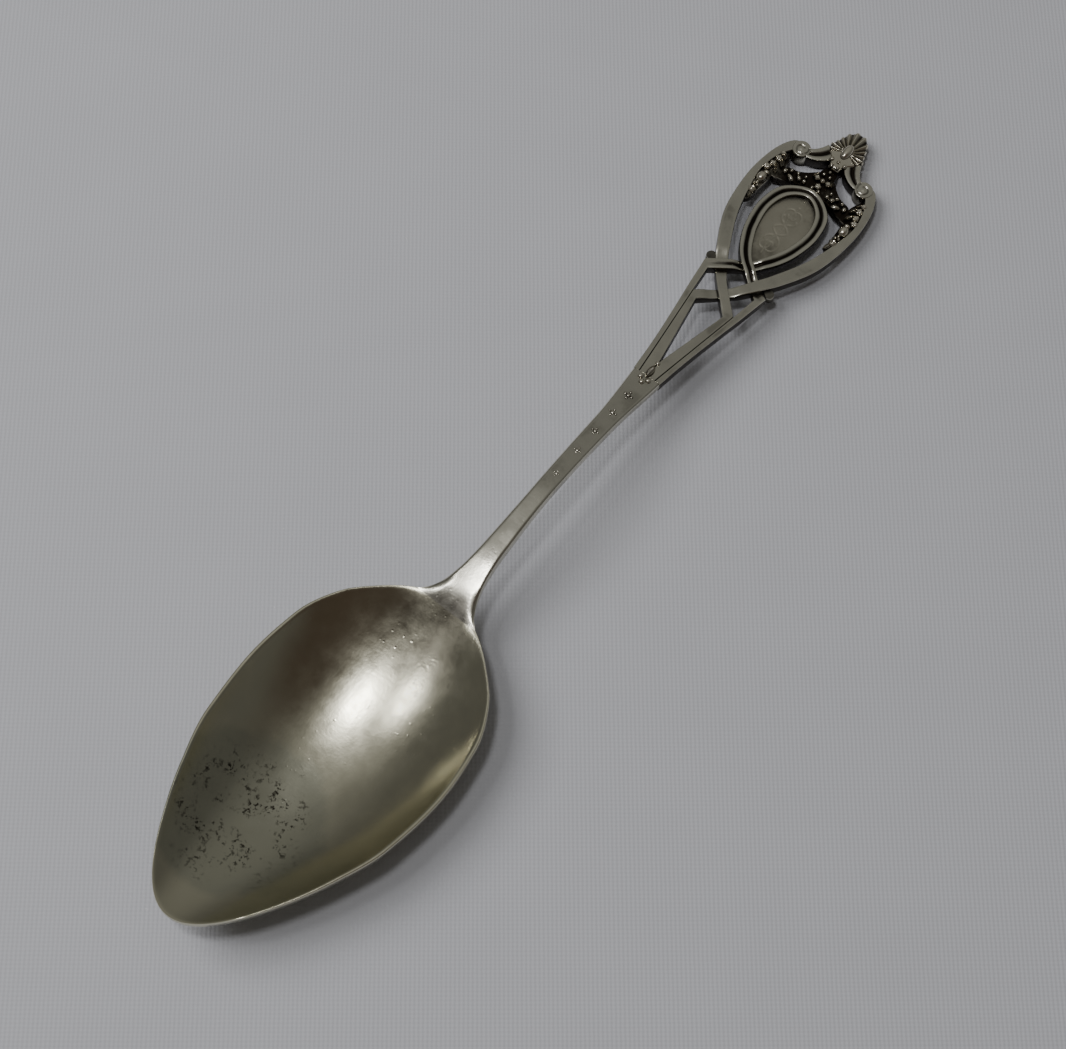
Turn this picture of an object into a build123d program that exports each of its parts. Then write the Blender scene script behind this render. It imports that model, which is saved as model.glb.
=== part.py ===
from build123d import *
import os
from math import cos, radians, sin, sqrt

# Souvenir spoon with a pierced, interlaced handle. Millimetres.
# X runs from the bowl's tip to the shell at the handle's end, Y across, Z up.
# The spoon lies face up on the table z = 0, and the origin is below the middle of its length.

os.makedirs("parts", exist_ok=True)

# Lengths along X
bowl_length = 52.0  # bowl's tip to the neck
neck_length = 10.0
stem_length = 33.0  # neck to the fork
head_length = 53.0  # fork to the shell's tip

# Widths across Y
bowl_width = 31.0
heel_width = 9.5  # where the bowl meets the neck
stem_width = 3.1  # where the neck meets the stem
waist_width = 2.6  # narrowest part of the stem
fork_width = 4.3
head_width = 18.0

# Heights above the table, and thicknesses of metal
bowl_metal = 1.0
rim_land = 0.9  # width of the bowl's flat rim
rim_height_tip = 8.15
rim_height_middle = 7.55
heel_height = 6.6  # face of the handle where it leaves the bowl
neck_height = 8.15  # face just past the steep start of the neck
stem_height = 9.2
arch_height = 9.9  # highest point of the handle
fork_height = 6.85
lattice_height = 4.55
medallion_height = 3.0
shell_height = 2.3
heel_metal = 1.5
neck_metal = 2.2
stem_metal = 2.7
arch_metal = 2.4
fork_metal = 2.0
strap_metal = 1.8

# Ornament
plate_recess = 0.75  # medallion plate's face below the straps' face
plate_metal = 0.7
border_width = 0.16  # channel between the medallion's raised field and its rim
border_depth = 0.12
groove_depth = 0.35
groove_width = 0.18
relief = 0.35  # scrolls and shell above the straps' face
bead_radius = 0.72
floret_radius = 0.6
seed_radius = 0.38
shell_flutes = 13
flute_radius = 0.3
scroll_radius = 1.4
boss_length = 3.1
boss_width = 1.56
boss_rise = 0.75

# Shape of the bowl: cross-sections are a parabola stiffened by a fourth power
floor_share = 0.53  # deepest point, as a share of the bowl's length from its tip
tip_power = 2.3
heel_power = 1.9
side_fullness = 0.4
rim_rise_at_heel = 0.3

overall_length = bowl_length + neck_length + stem_length + head_length
tip_x = -overall_length / 2
neck_x = tip_x + bowl_length
stem_x = neck_x + neck_length
fork_x = stem_x + stem_length
end_x = fork_x + head_length
reach = 2 * max(bowl_width, head_width)  # wider than any outline

# Outlines of the head are drawn on a grid of this size, measured from the fork
grid_length = 53.0
grid_width = 18.0


def ease(stations, at):
    """Smooth curve through the stations (place, value) that never overshoots them."""
    places = [place for place, value in stations]
    values = [value for place, value in stations]
    steps = [b - a for a, b in zip(places, places[1:])]
    slopes = [(b - a) / step for a, b, step in zip(values, values[1:], steps)]
    tangents = [slopes[0]]
    for before, after in zip(slopes, slopes[1:]):
        tangents.append(2 * before * after / (before + after) if before * after > 0 else 0.0)
    tangents.append(slopes[-1])
    index = 0
    while index < len(steps) - 1 and at > places[index + 1]:
        index += 1
    step = steps[index]
    t = (at - places[index]) / step
    rise = values[index + 1] - values[index]
    start, finish = tangents[index] * step, tangents[index + 1] * step
    cubic = start + finish - 2 * rise
    square = 3 * rise - 2 * start - finish
    return values[index] + t * (start + t * (square + t * cubic))


# ---------------------------------------------------------------- heights along the handle

steep_x = neck_x + 0.45 * neck_length  # the neck rises steeply up to here
arch_x = stem_x + 0.3 * stem_length
lattice_x = fork_x + 0.36 * head_length
medallion_x = fork_x + 0.70 * head_length
rest_x = fork_x + 0.94 * head_length  # where the head touches the table

face_stations = [
    (neck_x, heel_height),
    (steep_x, neck_height),
    (stem_x, stem_height),
    (arch_x, arch_height),
    (fork_x, fork_height),
    (lattice_x, lattice_height),
    (medallion_x, medallion_height),
    (rest_x, shell_height),
    (end_x, shell_height - 0.1),
]
underside_stations = [
    (neck_x, heel_height - heel_metal),
    (steep_x, neck_height - neck_metal),
    (stem_x, stem_height - stem_metal),
    (arch_x, arch_height - arch_metal),
    (fork_x, fork_height - fork_metal),
    (lattice_x, lattice_height - strap_metal),
    (medallion_x, medallion_height - strap_metal),
    (rest_x, 0.0),
    (end_x, 0.15),
]


def height(level, x):
    """Height of a level of the handle's metal at x: 0 is the underside and 1 the face."""
    under = ease(underside_stations, x)
    return under + level * (ease(face_stations, x) - under)


def layer(low, high):
    """Everything between two levels of the handle's metal, over its whole length."""
    count = 24
    stations = [neck_x + (end_x - neck_x) * k / count for k in range(count + 1)]
    lower = [(x, height(low, x)) for x in stations]
    upper = [(x, height(high, x)) for x in reversed(stations)]
    with BuildPart() as block:
        with BuildSketch(Plane.XZ):
            with BuildLine():
                Spline(*lower)
                Line(lower[-1], upper[0])
                Spline(*upper)
                Line(upper[-1], lower[0])
            make_face()
        extrude(amount=reach / 2, both=True)
    return block.part


full_layer = layer(0.0, 1.0)
lower_half = layer(-0.5, 0.5)
upper_half = layer(0.5, 1.6)
raised_layer = layer(0.0, 1.0 + relief / strap_metal)
ornament_layer = layer(0.05, 0.85)
bead_layer = layer(0.05, 1.45)
groove_layer = layer(1.0 - groove_depth / strap_metal, 1.6)
prism_height = 2 * arch_height


def head(u, v, side=1):
    """Point of the head's plan from grid units: u from the fork, v from the middle line."""
    return (fork_x + u * head_length / grid_length, side * v * head_width / grid_width)


# ---------------------------------------------------------------- bowl

def bowl_share(x):
    return (x - tip_x) / bowl_length


def breadth(share):
    """Half-width of the bowl's plan at a share of its length from the tip."""
    heel = (heel_width / bowl_width) ** 2
    squares = [(0, 0), (0.05, 0.097), (0.16, 0.326), (0.294, 0.618), (0.438, 0.887), (0.615, 1.0)]
    squares += [(0.7615, 0.904), (0.873, 0.627), (0.9365, 0.356), (1.0, heel)]
    return bowl_width / 2 * sqrt(max(ease(squares, share), 0.0))


def rim_height(share):
    stations = [(0, rim_height_tip), (0.27, rim_height_tip + 0.1), (0.58, rim_height_middle)]
    return ease(stations + [(1.0, heel_height + rim_rise_at_heel)], share)


def floor_height(share):
    """Height of the bowl's inner face along its middle line."""
    if share < floor_share:
        away = (floor_share - share) / floor_share
        return bowl_metal + (rim_height_tip - bowl_metal) * away**tip_power
    away = (share - floor_share) / (1 - floor_share)
    return bowl_metal + (heel_height - bowl_metal) * away**heel_power


def bowl_inner(x, y):
    share = bowl_share(x)
    inner_share = 1 - 2 * rim_land / bowl_width
    near = max(share, 0.03)
    half = breadth(near) * inner_share
    sag = (rim_height(near) - floor_height(near)) / half**2
    fullness = side_fullness * (half / (bowl_width / 2 * inner_share)) ** 2
    fourth = side_fullness * y**2 / (bowl_width / 2 * inner_share) ** 2
    return floor_height(share) + sag * y**2 * (1 - fullness + fourth)


def bowl_outline():
    shares = [0.05, 0.16, 0.294, 0.438, 0.615, 0.7615, 0.873, 0.9365, 1.0]
    side = [(tip_x, 0)] + [(tip_x + share * bowl_length, breadth(share)) for share in shares]
    return side


def bowl_outer(x, y):
    """Underside of the bowl: the inner face moved out by the metal's thickness."""
    step = 0.05
    slope_x = (bowl_inner(x + step, y) - bowl_inner(x - step, y)) / (2 * step)
    slope_y = (bowl_inner(x, y + step) - bowl_inner(x, y - step)) / (2 * step)
    return bowl_inner(x, y) - bowl_metal * sqrt(1 + slope_x**2 + slope_y**2)


def above(surface):
    """Solid that fills the space above a height formula over the bowl's plan."""
    rows = 17
    columns = 13
    start = tip_x - 0.8
    step = (neck_x + 0.8 - start) / (rows - 1)
    span = bowl_width / 2 + 0.5
    across = [(2 * column / (columns - 1) - 1) * span for column in range(columns)]
    points = []
    for row in range(rows):
        x = start + row * step
        points.append([(x, y, surface(x, y)) for y in across])
    dish = Face.make_surface_from_array_of_points(points, tol=0.01, min_deg=3, max_deg=5)
    return extrude(dish, amount=4 * prism_height, dir=(0, 0, 1))


outer_space = above(bowl_outer)
inner_space = above(bowl_inner)

with BuildPart() as under_rim:
    with BuildSketch(Plane.XZ):
        rim_points = [(tip_x + share * bowl_length, rim_height(share)) for share in (0, 0.27, 0.58, 0.8, 1.0)]
        with BuildLine():
            Polyline(rim_points[0], (tip_x, -1), (neck_x, -1), rim_points[-1])
            Spline(*rim_points)
        make_face()
    extrude(amount=reach / 2, both=True)

with BuildPart() as bowl:
    with BuildSketch(Plane.XY.offset(-1)):
        with BuildLine():
            side = bowl_outline()
            Spline(*side, tangents=[(0, 1), (1, -1.1)])
            Line(side[-1], (side[-1][0], 0))
            mirror(about=Plane.XZ)
        make_face()
    extrude(amount=prism_height)
    add(outer_space, mode=Mode.INTERSECT)
    add(inner_space, mode=Mode.SUBTRACT)
    add(under_rim.part, mode=Mode.INTERSECT)
bowl.part.label = "bowl"
export_step(bowl.part, "parts/bowl.step")

# ---------------------------------------------------------------- neck and stem

with BuildPart() as neck:
    with BuildSketch(Plane.XY):
        with BuildLine():
            flank = [(0, heel_width / 2), (0.12, 3.6), (0.35, 2.5), (0.65, 1.85), (1.0, stem_width / 2)]
            flank = [(neck_x + share * neck_length, half) for share, half in flank]
            Spline(*flank)
            Line(flank[-1], (stem_x, 0))
            Line(flank[0], (neck_x, 0))
            mirror(about=Plane.XZ)
        make_face()
    extrude(amount=prism_height)
    add(full_layer, mode=Mode.INTERSECT)
neck.part.label = "neck"
export_step(neck.part, "parts/neck.step")

with BuildPart() as stem:
    with BuildSketch(Plane.XY):
        with BuildLine():
            flank = [
                (stem_x, stem_width / 2),
                (arch_x, waist_width / 2),
                (fork_x - 0.3 * stem_length, 0.56 * waist_width),
                (fork_x, fork_width / 2),
            ]
            Spline(*flank)
            Line(flank[-1], (fork_x, 0))
            Line(flank[0], (stem_x, 0))
            mirror(about=Plane.XZ)
        make_face()
    extrude(amount=prism_height)
    add(full_layer, mode=Mode.INTERSECT)
stem.part.label = "stem"
export_step(stem.part, "parts/stem.step")

# ---------------------------------------------------------------- plans of the head's members

# Edges of a strap that starts in the left arm and crosses to the right side of the head
fork_half = fork_width / 2 * grid_width / head_width
seam_start = 0.6 * fork_half  # where the wide and the narrow strap part at the fork
wide_inner = [(19.2, -2.2), (21.6, -3.9), (24, -5.4), (29, -7.8), (34, -8.8), (39, -9.0)]
wide_inner += [(44, -8.0), (46.1, -6.7), (45.7, -5.6)]
wide_outer = [(44.3, -6.1), (41.8, -7.45), (38.6, -7.95), (35.5, -7.7), (32.2, -6.55), (28.0, -5.45)]
wide_outer += [(23.4, -2.85), (21.2, -1.6), (19.1, -0.1)]
arm_outer = [(5.3, 2.75), (13.6, 4.05), (20.9, 5.2)]
loop_outer = [(22.85, 0.1), (23.7, -1.0), (25.1, -2.3), (27, -3.45)]
loop_outer += [(29.5, -4.4), (34.2, -5.0), (38.3, -3.8), (40.4, 0)]
loop_inner = [(38.8, 0), (37.4, -2.2), (34.3, -3.25), (30.2, -2.7)]
loop_inner += [(28.2, -1.95), (26.6, -1.15), (25.0, 0), (24.3, 0.85)]


def wide_strap_plan(side):
    with BuildSketch() as plan:
        with BuildLine():
            Polyline(*[head(u, v, side) for u, v in [(0, 0), (3.2, 0), (14.6, 2.25), wide_inner[0]]])
            Spline(*[head(u, v, side) for u, v in wide_inner])
            Line(head(*wide_inner[-1], side), head(*wide_outer[0], side))
            Spline(*[head(u, v, side) for u, v in wide_outer])
            Polyline(*[head(u, v, side) for u, v in [wide_outer[-1], (15.6, 3.4), (0, seam_start), (0, 0)]])
        make_face()
    return plan.sketch


def narrow_strap_plan(side):
    with BuildSketch() as plan:
        with BuildLine():
            Spline(*[head(u, v, side) for u, v in [(0, fork_half)] + arm_outer])
            Line(head(20.9, 5.2, side), head(*loop_inner[-1], side))
            Spline(*[head(u, v, side) for u, v in reversed(loop_inner)])
            Line(head(*loop_inner[0], side), head(*loop_outer[-1], side))
            Spline(*[head(u, v, side) for u, v in loop_outer])
            arm_inner = [(19.75, 3.95), (15.6, 3.4), (0, seam_start), (0, fork_half)]
            Polyline(*[head(u, v, side) for u, v in [loop_outer[0]] + arm_inner])
        make_face()
    return plan.sketch


def prism(plan, space=None):
    """A plan raised through the whole handle, cut to a space if one is given."""
    block = extrude(plan, amount=prism_height, dir=(0, 0, 1))
    return block & space if space else block


def groove(routes, side):
    """Fine groove in the straps' face along each route of grid points."""
    with BuildSketch() as plan:
        for route in routes:
            with BuildLine():
                Spline(*[head(u, v, side) for u, v in route])
            trace(line_width=groove_width)
    return prism(plan.sketch, groove_layer)


def midway(one_edge, other_edge):
    return [((a + c) / 2, (b + d) / 2) for (a, b), (c, d) in zip(one_edge, other_edge)]


def finish(piece, name):
    piece.label = name
    export_step(piece, f"parts/{name}.step")


def closed_plan(corners, side=1):
    """Plan with straight edges through grid points."""
    with BuildSketch() as plan:
        with BuildLine():
            Polyline(*[head(u, v, side) for u, v in corners], close=True)
        make_face()
    return plan.sketch


LEFT, RIGHT = 1, -1
wide_prism = {side: prism(wide_strap_plan(side)) for side in (LEFT, RIGHT)}
narrow_prism = {side: prism(narrow_strap_plan(side)) for side in (LEFT, RIGHT)}
scroll_u, scroll_v = 45.0, 5.4

# ---------------------------------------------------------------- scrolls

scroll_prism = {}
for side, name in ((LEFT, "scroll_left"), (RIGHT, "scroll_right")):
    with BuildPart() as scroll:
        with BuildSketch(Plane.XY):
            with Locations(head(scroll_u, scroll_v, side)):
                Circle(scroll_radius)
        extrude(amount=prism_height)
    scroll_prism[side] = scroll.part
    finish(scroll.part & raised_layer, name)

# ---------------------------------------------------------------- interlaced straps

# Each crossing is a half lap: the strap on top keeps the upper half of the metal there.
# A window round each crossing keeps the cuts away from where straps only touch.
wide_window = [(15.8, -2), (20.6, -2), (20.6, 2), (15.8, 2)]
mixed_window = [(19, 1.35), (24.5, 1.35), (24.5, 5.4), (19, 5.4)]
narrow_window = [(22, -1.3), (26, -1.3), (26, 1.3), (22, 1.3)]


def lap(other_strap, window, side, half):
    """The metal that the other strap takes from this one where they cross."""
    return prism(closed_plan(window, side), half) & other_strap


for side, name in ((LEFT, "wide_strap_left"), (RIGHT, "wide_strap_right")):
    wide_half, narrow_half = (upper_half, lower_half) if side == LEFT else (lower_half, upper_half)
    laps = [lap(wide_prism[-side], wide_window, side, wide_half)]
    laps.append(lap(narrow_prism[-side], mixed_window, -side, narrow_half))
    with BuildPart() as wide_strap:
        add(wide_prism[side])
        add(full_layer, mode=Mode.INTERSECT)
        add(scroll_prism[-side], mode=Mode.SUBTRACT)
        add(laps, mode=Mode.SUBTRACT)
    finish(wide_strap.part, name)

arm_groove = [(0.3, (fork_half + seam_start) / 2), (8, 2.75), (15.6, 3.9), (20.2, 4.55)]
narrow_grooves = {}
for side in (LEFT, RIGHT):
    narrow_grooves[side] = groove([arm_groove, midway(loop_outer, reversed(loop_inner))], side)

for side, name in ((LEFT, "narrow_strap_left"), (RIGHT, "narrow_strap_right")):
    wide_half, narrow_half = (lower_half, upper_half) if side == LEFT else (upper_half, lower_half)
    laps = [lap(wide_prism[-side], mixed_window, side, wide_half)]
    laps.append(lap(narrow_prism[-side], narrow_window, side, narrow_half))
    with BuildPart() as narrow_strap:
        add(narrow_prism[side])
        add(full_layer, mode=Mode.INTERSECT)
        add(laps, mode=Mode.SUBTRACT)
        add(narrow_grooves[side], mode=Mode.SUBTRACT)
    finish(narrow_strap.part, name)

tip_corners = [(21.35, 4.95), (21.6, 5.5), (22.2, 5.7), (22.8, 5.35), (22.9, 4.7), (22.0, 3.5)]
for side, name in ((LEFT, "strap_tip_left"), (RIGHT, "strap_tip_right")):
    block = prism(closed_plan(tip_corners, side), full_layer)
    with BuildPart() as strap_tip:
        add(block)
        add(wide_prism[-side], mode=Mode.SUBTRACT)
        add(narrow_prism[side], mode=Mode.SUBTRACT)
    finish(strap_tip.part, name)

# ---------------------------------------------------------------- medallion

# The plate's faces are flat: they follow a straight line between the plate's two ends
plate_u = (loop_inner[-2][0], loop_inner[0][0])
plate_x = [head(u, 0)[0] for u in plate_u]
plate_top = [height(1, x) - plate_recess for x in plate_x]


def slab(drop, metal):
    """Flat tilted layer whose top lies a drop below the medallion's face."""
    corners = [(plate_x[0] - 1, plate_top[0] - drop), (plate_x[1] + 1, plate_top[1] - drop)]
    corners += [(x, z - metal) for x, z in reversed(corners)]
    with BuildPart() as block:
        with BuildSketch(Plane.XZ):
            with BuildLine():
                Polyline(*corners, close=True)
            make_face()
        extrude(amount=reach / 2, both=True)
    return block.part


def medallion_outline(margin):
    """Pointed oval inside the narrow straps' loop, a margin smaller all round."""
    middle = sum(plate_x) / 2
    along = 1 - 2 * margin / (plate_x[1] - plate_x[0])
    across = 1 - margin / head(0, -min(v for u, v in loop_inner))[1]
    rim_line = [head(u, -v) for u, v in loop_inner[-2::-1]]
    with BuildSketch() as plan:
        with BuildLine():
            Spline(*[(middle + along * (x - middle), across * y) for x, y in rim_line])
            mirror(about=Plane.XZ)
        make_face()
    return plan.sketch


plate_ground = prism(medallion_outline(0), slab(border_depth, plate_metal - border_depth))
plate_field = prism(medallion_outline(border_width), slab(0, plate_metal - border_depth))
with BuildPart() as medallion_plate:
    add(plate_ground)
    for side in (LEFT, RIGHT):
        add(narrow_prism[side], mode=Mode.SUBTRACT)
    add(plate_field)
finish(medallion_plate.part, "medallion_plate")

# ---------------------------------------------------------------- applied ornament


def on_face(u, v, level=1.0):
    """Point of the handle's face above a grid point."""
    x, y = head(u, v)
    return (x, y, height(level, x))


def ornament(outline, beads, side, name, neighbours):
    """Ground of an ornament with round beads on it, kept clear of its neighbours."""
    plan = closed_plan(outline, side)
    ground = prism(plan, ornament_layer)
    limits = prism(plan, bead_layer)
    with BuildPart() as piece:
        add(ground)
        for u, v, radius in beads:
            x, y, z = on_face(u, side * v, 0.85)
            with Locations((x, y, z)):
                Sphere(radius)
        add(limits, mode=Mode.INTERSECT)
        for neighbour in neighbours:
            add(neighbour, mode=Mode.SUBTRACT)
    finish(piece.part, name)
    return piece.part


drop_outline = [(32.9, 7.0), (33.4, 6.35), (39.0, 6.35), (39.0, 8.3), (35.5, 8.2)]
drop_beads = [(37.4, 7.1, bead_radius), (34.8, 7.0, floret_radius)]
drop_beads += [(36.1, 6.8, seed_radius), (36.15, 7.28, seed_radius)]
spray_outline = [(39.0, 8.3), (39.0, 5.4), (41.3, 5.4), (42.4, 5.7), (43.7, 6.5), (43.9, 7.5), (41, 8.3)]
spray_beads = [(u, v, floret_radius) for u, v in [(39.7, 7.3), (40.8, 6.9), (41.9, 6.7)]]
spray_beads += [(43.0, 6.9, seed_radius)]
garland_foot = [(40.2, 1.1), (43.7, 1.35)]
garland_outline = [(39.0, 5.4), (39.2, 4.5), (39.6, 3.6), (39.9, 2.6)] + garland_foot
garland_outline += [(42.6, 2.6), (41.9, 3.7), (41.3, 5.4)]
garland_beads = [(40.2, 3.7, floret_radius)]
garland_beads += [(u, v, seed_radius) for u, v in [(40.5, 4.9), (41.2, 2.9), (40.8, 2.0), (42.3, 1.8)]]
palmette_half = garland_foot + [(45.2, 0.9)]
palmette_outline = [(39.8, 0)] + palmette_half + [(u, -v) for u, v in reversed(palmette_half)]
palmette_beads = [(42.3, 0.0, floret_radius)]
palmette_beads += [(u, v, seed_radius) for u, v in [(41.2, 0), (42.7, 0.9), (42.7, -0.9), (44.2, 0)]]

for side, hand in ((LEFT, "left"), (RIGHT, "right")):
    straps = [wide_prism[-side], narrow_prism[-side], scroll_prism[side]]
    for name, outline, beads in (
        ("husk_drop", drop_outline, drop_beads),
        ("leaf_spray", spray_outline, spray_beads),
        ("garland", garland_outline, garland_beads),
    ):
        ornament(outline, beads, side, f"{name}_{hand}", straps)
ornament(palmette_outline, palmette_beads, LEFT, "palmette", [narrow_prism[LEFT], narrow_prism[RIGHT]])

# ---------------------------------------------------------------- crest and shell

crest_inner = [(44.2, 5.2), (44.45, 3.3), (45.3, 1.9), (46.2, 1.05)]
crest_outer = [(48.4, 2.8), (47.0, 3.45), (46.0, 4.35), (45.7, 5.4)]
crest_prism = {}
for side, name in ((LEFT, "crest_moulding_left"), (RIGHT, "crest_moulding_right")):
    crest_groove = groove([midway(crest_inner, reversed(crest_outer))], side)
    with BuildPart() as crest_moulding:
        with BuildSketch(Plane.XY):
            with BuildLine():
                Spline(*[head(u, v, side) for u, v in crest_inner])
                Line(head(*crest_inner[-1], side), head(*crest_outer[0], side))
                Spline(*[head(u, v, side) for u, v in crest_outer])
                Line(head(*crest_outer[-1], side), head(*crest_inner[0], side))
            make_face()
        extrude(amount=prism_height)
        add(full_layer, mode=Mode.INTERSECT)
        add(scroll_prism[side], mode=Mode.SUBTRACT)
        add(crest_groove, mode=Mode.SUBTRACT)
    crest_prism[side] = crest_moulding.part
    finish(crest_moulding.part, name)

boss_u = 48.7
with BuildPart() as shell:
    with BuildSketch(Plane.XY):
        with BuildLine():
            rim = [crest_outer[0], (49.9, 2.35), (51.4, 1.85), (52.5, 1.15), (53.0, 0)]
            Polyline(head(45.2, 0), head(45.2, 0.9), head(*crest_inner[-1]), head(*rim[0]))
            Spline(*[head(u, v) for u, v in rim])
            mirror(about=Plane.XZ)
        make_face()
    extrude(amount=prism_height)
    add(full_layer, mode=Mode.INTERSECT)
    for flute in range(shell_flutes):
        turn = 115 * (2 * flute / (shell_flutes - 1) - 1)
        outward = (cos(radians(turn)), sin(radians(turn)), 0)
        with Locations(Plane(on_face(boss_u, 0, 1.1), z_dir=outward)):
            from_boss = (Align.CENTER, Align.CENTER, Align.MIN)
            Cylinder(flute_radius, 3 * boss_length, align=from_boss, mode=Mode.SUBTRACT)
finish(shell.part, "shell")

# The boss is an oval spun about its long axis and seated on the shell's face
boss_x, _, boss_z = on_face(boss_u, 0)
with BuildPart() as shell_boss:
    with BuildSketch(Plane.XZ):
        with BuildLine():
            EllipticalCenterArc((boss_x, boss_z), boss_length / 2, boss_width / 2, arc_size=180)
            Line((boss_x - boss_length / 2, boss_z), (boss_x + boss_length / 2, boss_z))
        make_face()
    revolve(axis=Axis((0, 0, boss_z), (1, 0, 0)))
    add(shell.part, mode=Mode.SUBTRACT)
    add(lower_half, mode=Mode.SUBTRACT)
finish(shell_boss.part, "shell_boss")

# Round beads on an arc about the boss's lower end
collar_radius = 1.45
collar_u = boss_u - 0.6
with BuildPart() as shell_beads:
    for turn in (-110, -75, -40, 40, 75, 110):
        u = collar_u - collar_radius * cos(radians(turn)) * 1.1
        v = collar_radius * sin(radians(turn))
        with Locations(on_face(u, v)):
            Sphere(seed_radius)
    add(shell.part, mode=Mode.SUBTRACT)
    add(full_layer, mode=Mode.SUBTRACT)
finish(shell_beads.part, "shell_beads")

# ---------------------------------------------------------------- ornaments along the stem

ornament_sink = 0.08  # centres of the beads lie this far below the face


def stem_bead(x, y, radius):
    with Locations((x, y, height(1, x) - ornament_sink)):
        Sphere(radius)


trefoil = [(-1.2, 0, 0.4), (-0.6, 0.55, 0.4), (-0.6, -0.55, 0.4), (0.4, 0, 0.6), (2.3, 0, 0.3)]
cross_places = [fork_x - 4.2, fork_x - 7.8, fork_x - 11.7, fork_x - 15.6, fork_x - 20.1]
with BuildPart() as stem_ornaments:
    for order, x in enumerate(cross_places):
        radius = 0.36 - 0.03 * order
        stem_bead(x, 0, radius)
        for turn in (0, 90, 180, 270):
            stem_bead(x + 1.2 * radius * cos(radians(turn)), 1.2 * radius * sin(radians(turn)), 0.75 * radius)
    for ahead, y, radius in trefoil:
        stem_bead(fork_x + ahead, y, radius)
    add(full_layer, mode=Mode.SUBTRACT)
finish(stem_ornaments.part, "stem_ornaments")
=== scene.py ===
"""Silver souvenir spoon with a pierced, interlaced handle, laid face up on a pale cloth.

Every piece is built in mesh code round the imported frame. Lengths inside the builders are in
millimetres and turn into metres when a mesh is made.
"""
from math import cos, exp, hypot, pi, radians, sin, sqrt

import bmesh
import bpy
import numpy as np
from bpy.props import FloatProperty, FloatVectorProperty, PointerProperty
from mathutils import Matrix, Vector


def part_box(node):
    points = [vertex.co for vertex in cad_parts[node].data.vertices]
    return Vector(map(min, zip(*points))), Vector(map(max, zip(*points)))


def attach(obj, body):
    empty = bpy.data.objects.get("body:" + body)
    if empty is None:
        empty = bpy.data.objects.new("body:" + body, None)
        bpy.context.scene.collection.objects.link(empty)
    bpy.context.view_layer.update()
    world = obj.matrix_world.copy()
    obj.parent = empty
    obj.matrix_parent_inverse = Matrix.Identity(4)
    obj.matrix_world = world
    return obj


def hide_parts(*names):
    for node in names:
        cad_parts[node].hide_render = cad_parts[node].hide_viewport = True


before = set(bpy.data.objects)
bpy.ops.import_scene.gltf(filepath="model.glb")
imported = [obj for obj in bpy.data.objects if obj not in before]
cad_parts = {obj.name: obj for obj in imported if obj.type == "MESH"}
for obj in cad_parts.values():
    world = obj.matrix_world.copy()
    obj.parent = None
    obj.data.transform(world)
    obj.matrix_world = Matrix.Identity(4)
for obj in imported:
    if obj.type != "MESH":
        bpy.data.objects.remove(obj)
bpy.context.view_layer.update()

bl_info = {
    "name": "Souvenir Spoon",
    "version": (1, 0, 0),
    "blender": (4, 5, 0),
    "location": "View3D > Sidebar > Spoon",
    "description": "Silver spoon with a deep bowl and a pierced handle of interlaced straps",
    "category": "Add Mesh",
}

MM = 0.001
LEFT, RIGHT = 1, -1
HANDS = ((LEFT, "left"), (RIGHT, "right"))


def node_span(node, axis):
    """Lowest and highest coordinate of a frame node along an axis, in millimetres."""
    low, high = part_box(node)
    return low[axis] / MM, high[axis] / MM


TIP_X, HEEL_X = node_span("bowl", 0)
STEM_X, FORK_X = node_span("stem", 0)
END_X = node_span("shell", 0)[1]
BOWL_HALF = node_span("bowl", 1)[1]
HEAD_HALF = node_span("wide_strap_right", 1)[1]
ARCH_Z = node_span("stem", 2)[1]
BOWL_LENGTH = HEEL_X - TIP_X
HEAD_LENGTH = END_X - FORK_X
# Size of the grid, in its own units, that the head's outlines are drawn on
GRID_LENGTH, GRID_HALF = 53.0, 9.0

# ---- heights


def ease(stations, at):
    """Smooth curve through stations (place, value) that never overshoots them."""
    places = [place for place, value in stations]
    values = [value for place, value in stations]
    steps = [b - a for a, b in zip(places, places[1:])]
    slopes = [(b - a) / step for a, b, step in zip(values, values[1:], steps)]
    tangents = [slopes[0]]
    for before, after in zip(slopes, slopes[1:]):
        tangents.append(2 * before * after / (before + after) if before * after > 0 else 0.0)
    tangents.append(slopes[-1])
    index = 0
    while index < len(steps) - 1 and at > places[index + 1]:
        index += 1
    step = steps[index]
    t = (at - places[index]) / step
    rise = values[index + 1] - values[index]
    start, finish = tangents[index] * step, tangents[index + 1] * step
    cubic = start + finish - 2 * rise
    square = 3 * rise - 2 * start - finish
    return values[index] + t * (start + t * (square + t * cubic))


ARCH_X = STEM_X + 0.3 * (FORK_X - STEM_X)
LATTICE_X = FORK_X + 0.36 * HEAD_LENGTH
MEDALLION_X = FORK_X + 0.70 * HEAD_LENGTH
REST_X = FORK_X + 0.94 * HEAD_LENGTH
STEEP_X = HEEL_X + 0.45 * (STEM_X - HEEL_X)
FACE = [(HEEL_X, 6.6), (STEEP_X, 8.15), (STEM_X, 9.2), (ARCH_X, ARCH_Z), (FORK_X, 6.85)]
FACE += [(LATTICE_X, 4.55), (MEDALLION_X, 3.0), (REST_X, 2.3), (END_X, 2.2)]
UNDERSIDE = [(HEEL_X, 5.1), (STEEP_X, 5.95), (STEM_X, 6.5), (ARCH_X, ARCH_Z - 2.4), (FORK_X, 4.85)]
UNDERSIDE += [(LATTICE_X, 2.75), (MEDALLION_X, 1.2), (REST_X, 0.02), (END_X, 0.17)]
TABLE_X = np.linspace(HEEL_X, END_X, 1200)
TABLE_FACE = np.array([ease(FACE, x) for x in TABLE_X])
TABLE_UNDER = np.array([ease(UNDERSIDE, x) for x in TABLE_X])


def face_z(x):
    return float(np.interp(x, TABLE_X, TABLE_FACE))


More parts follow.
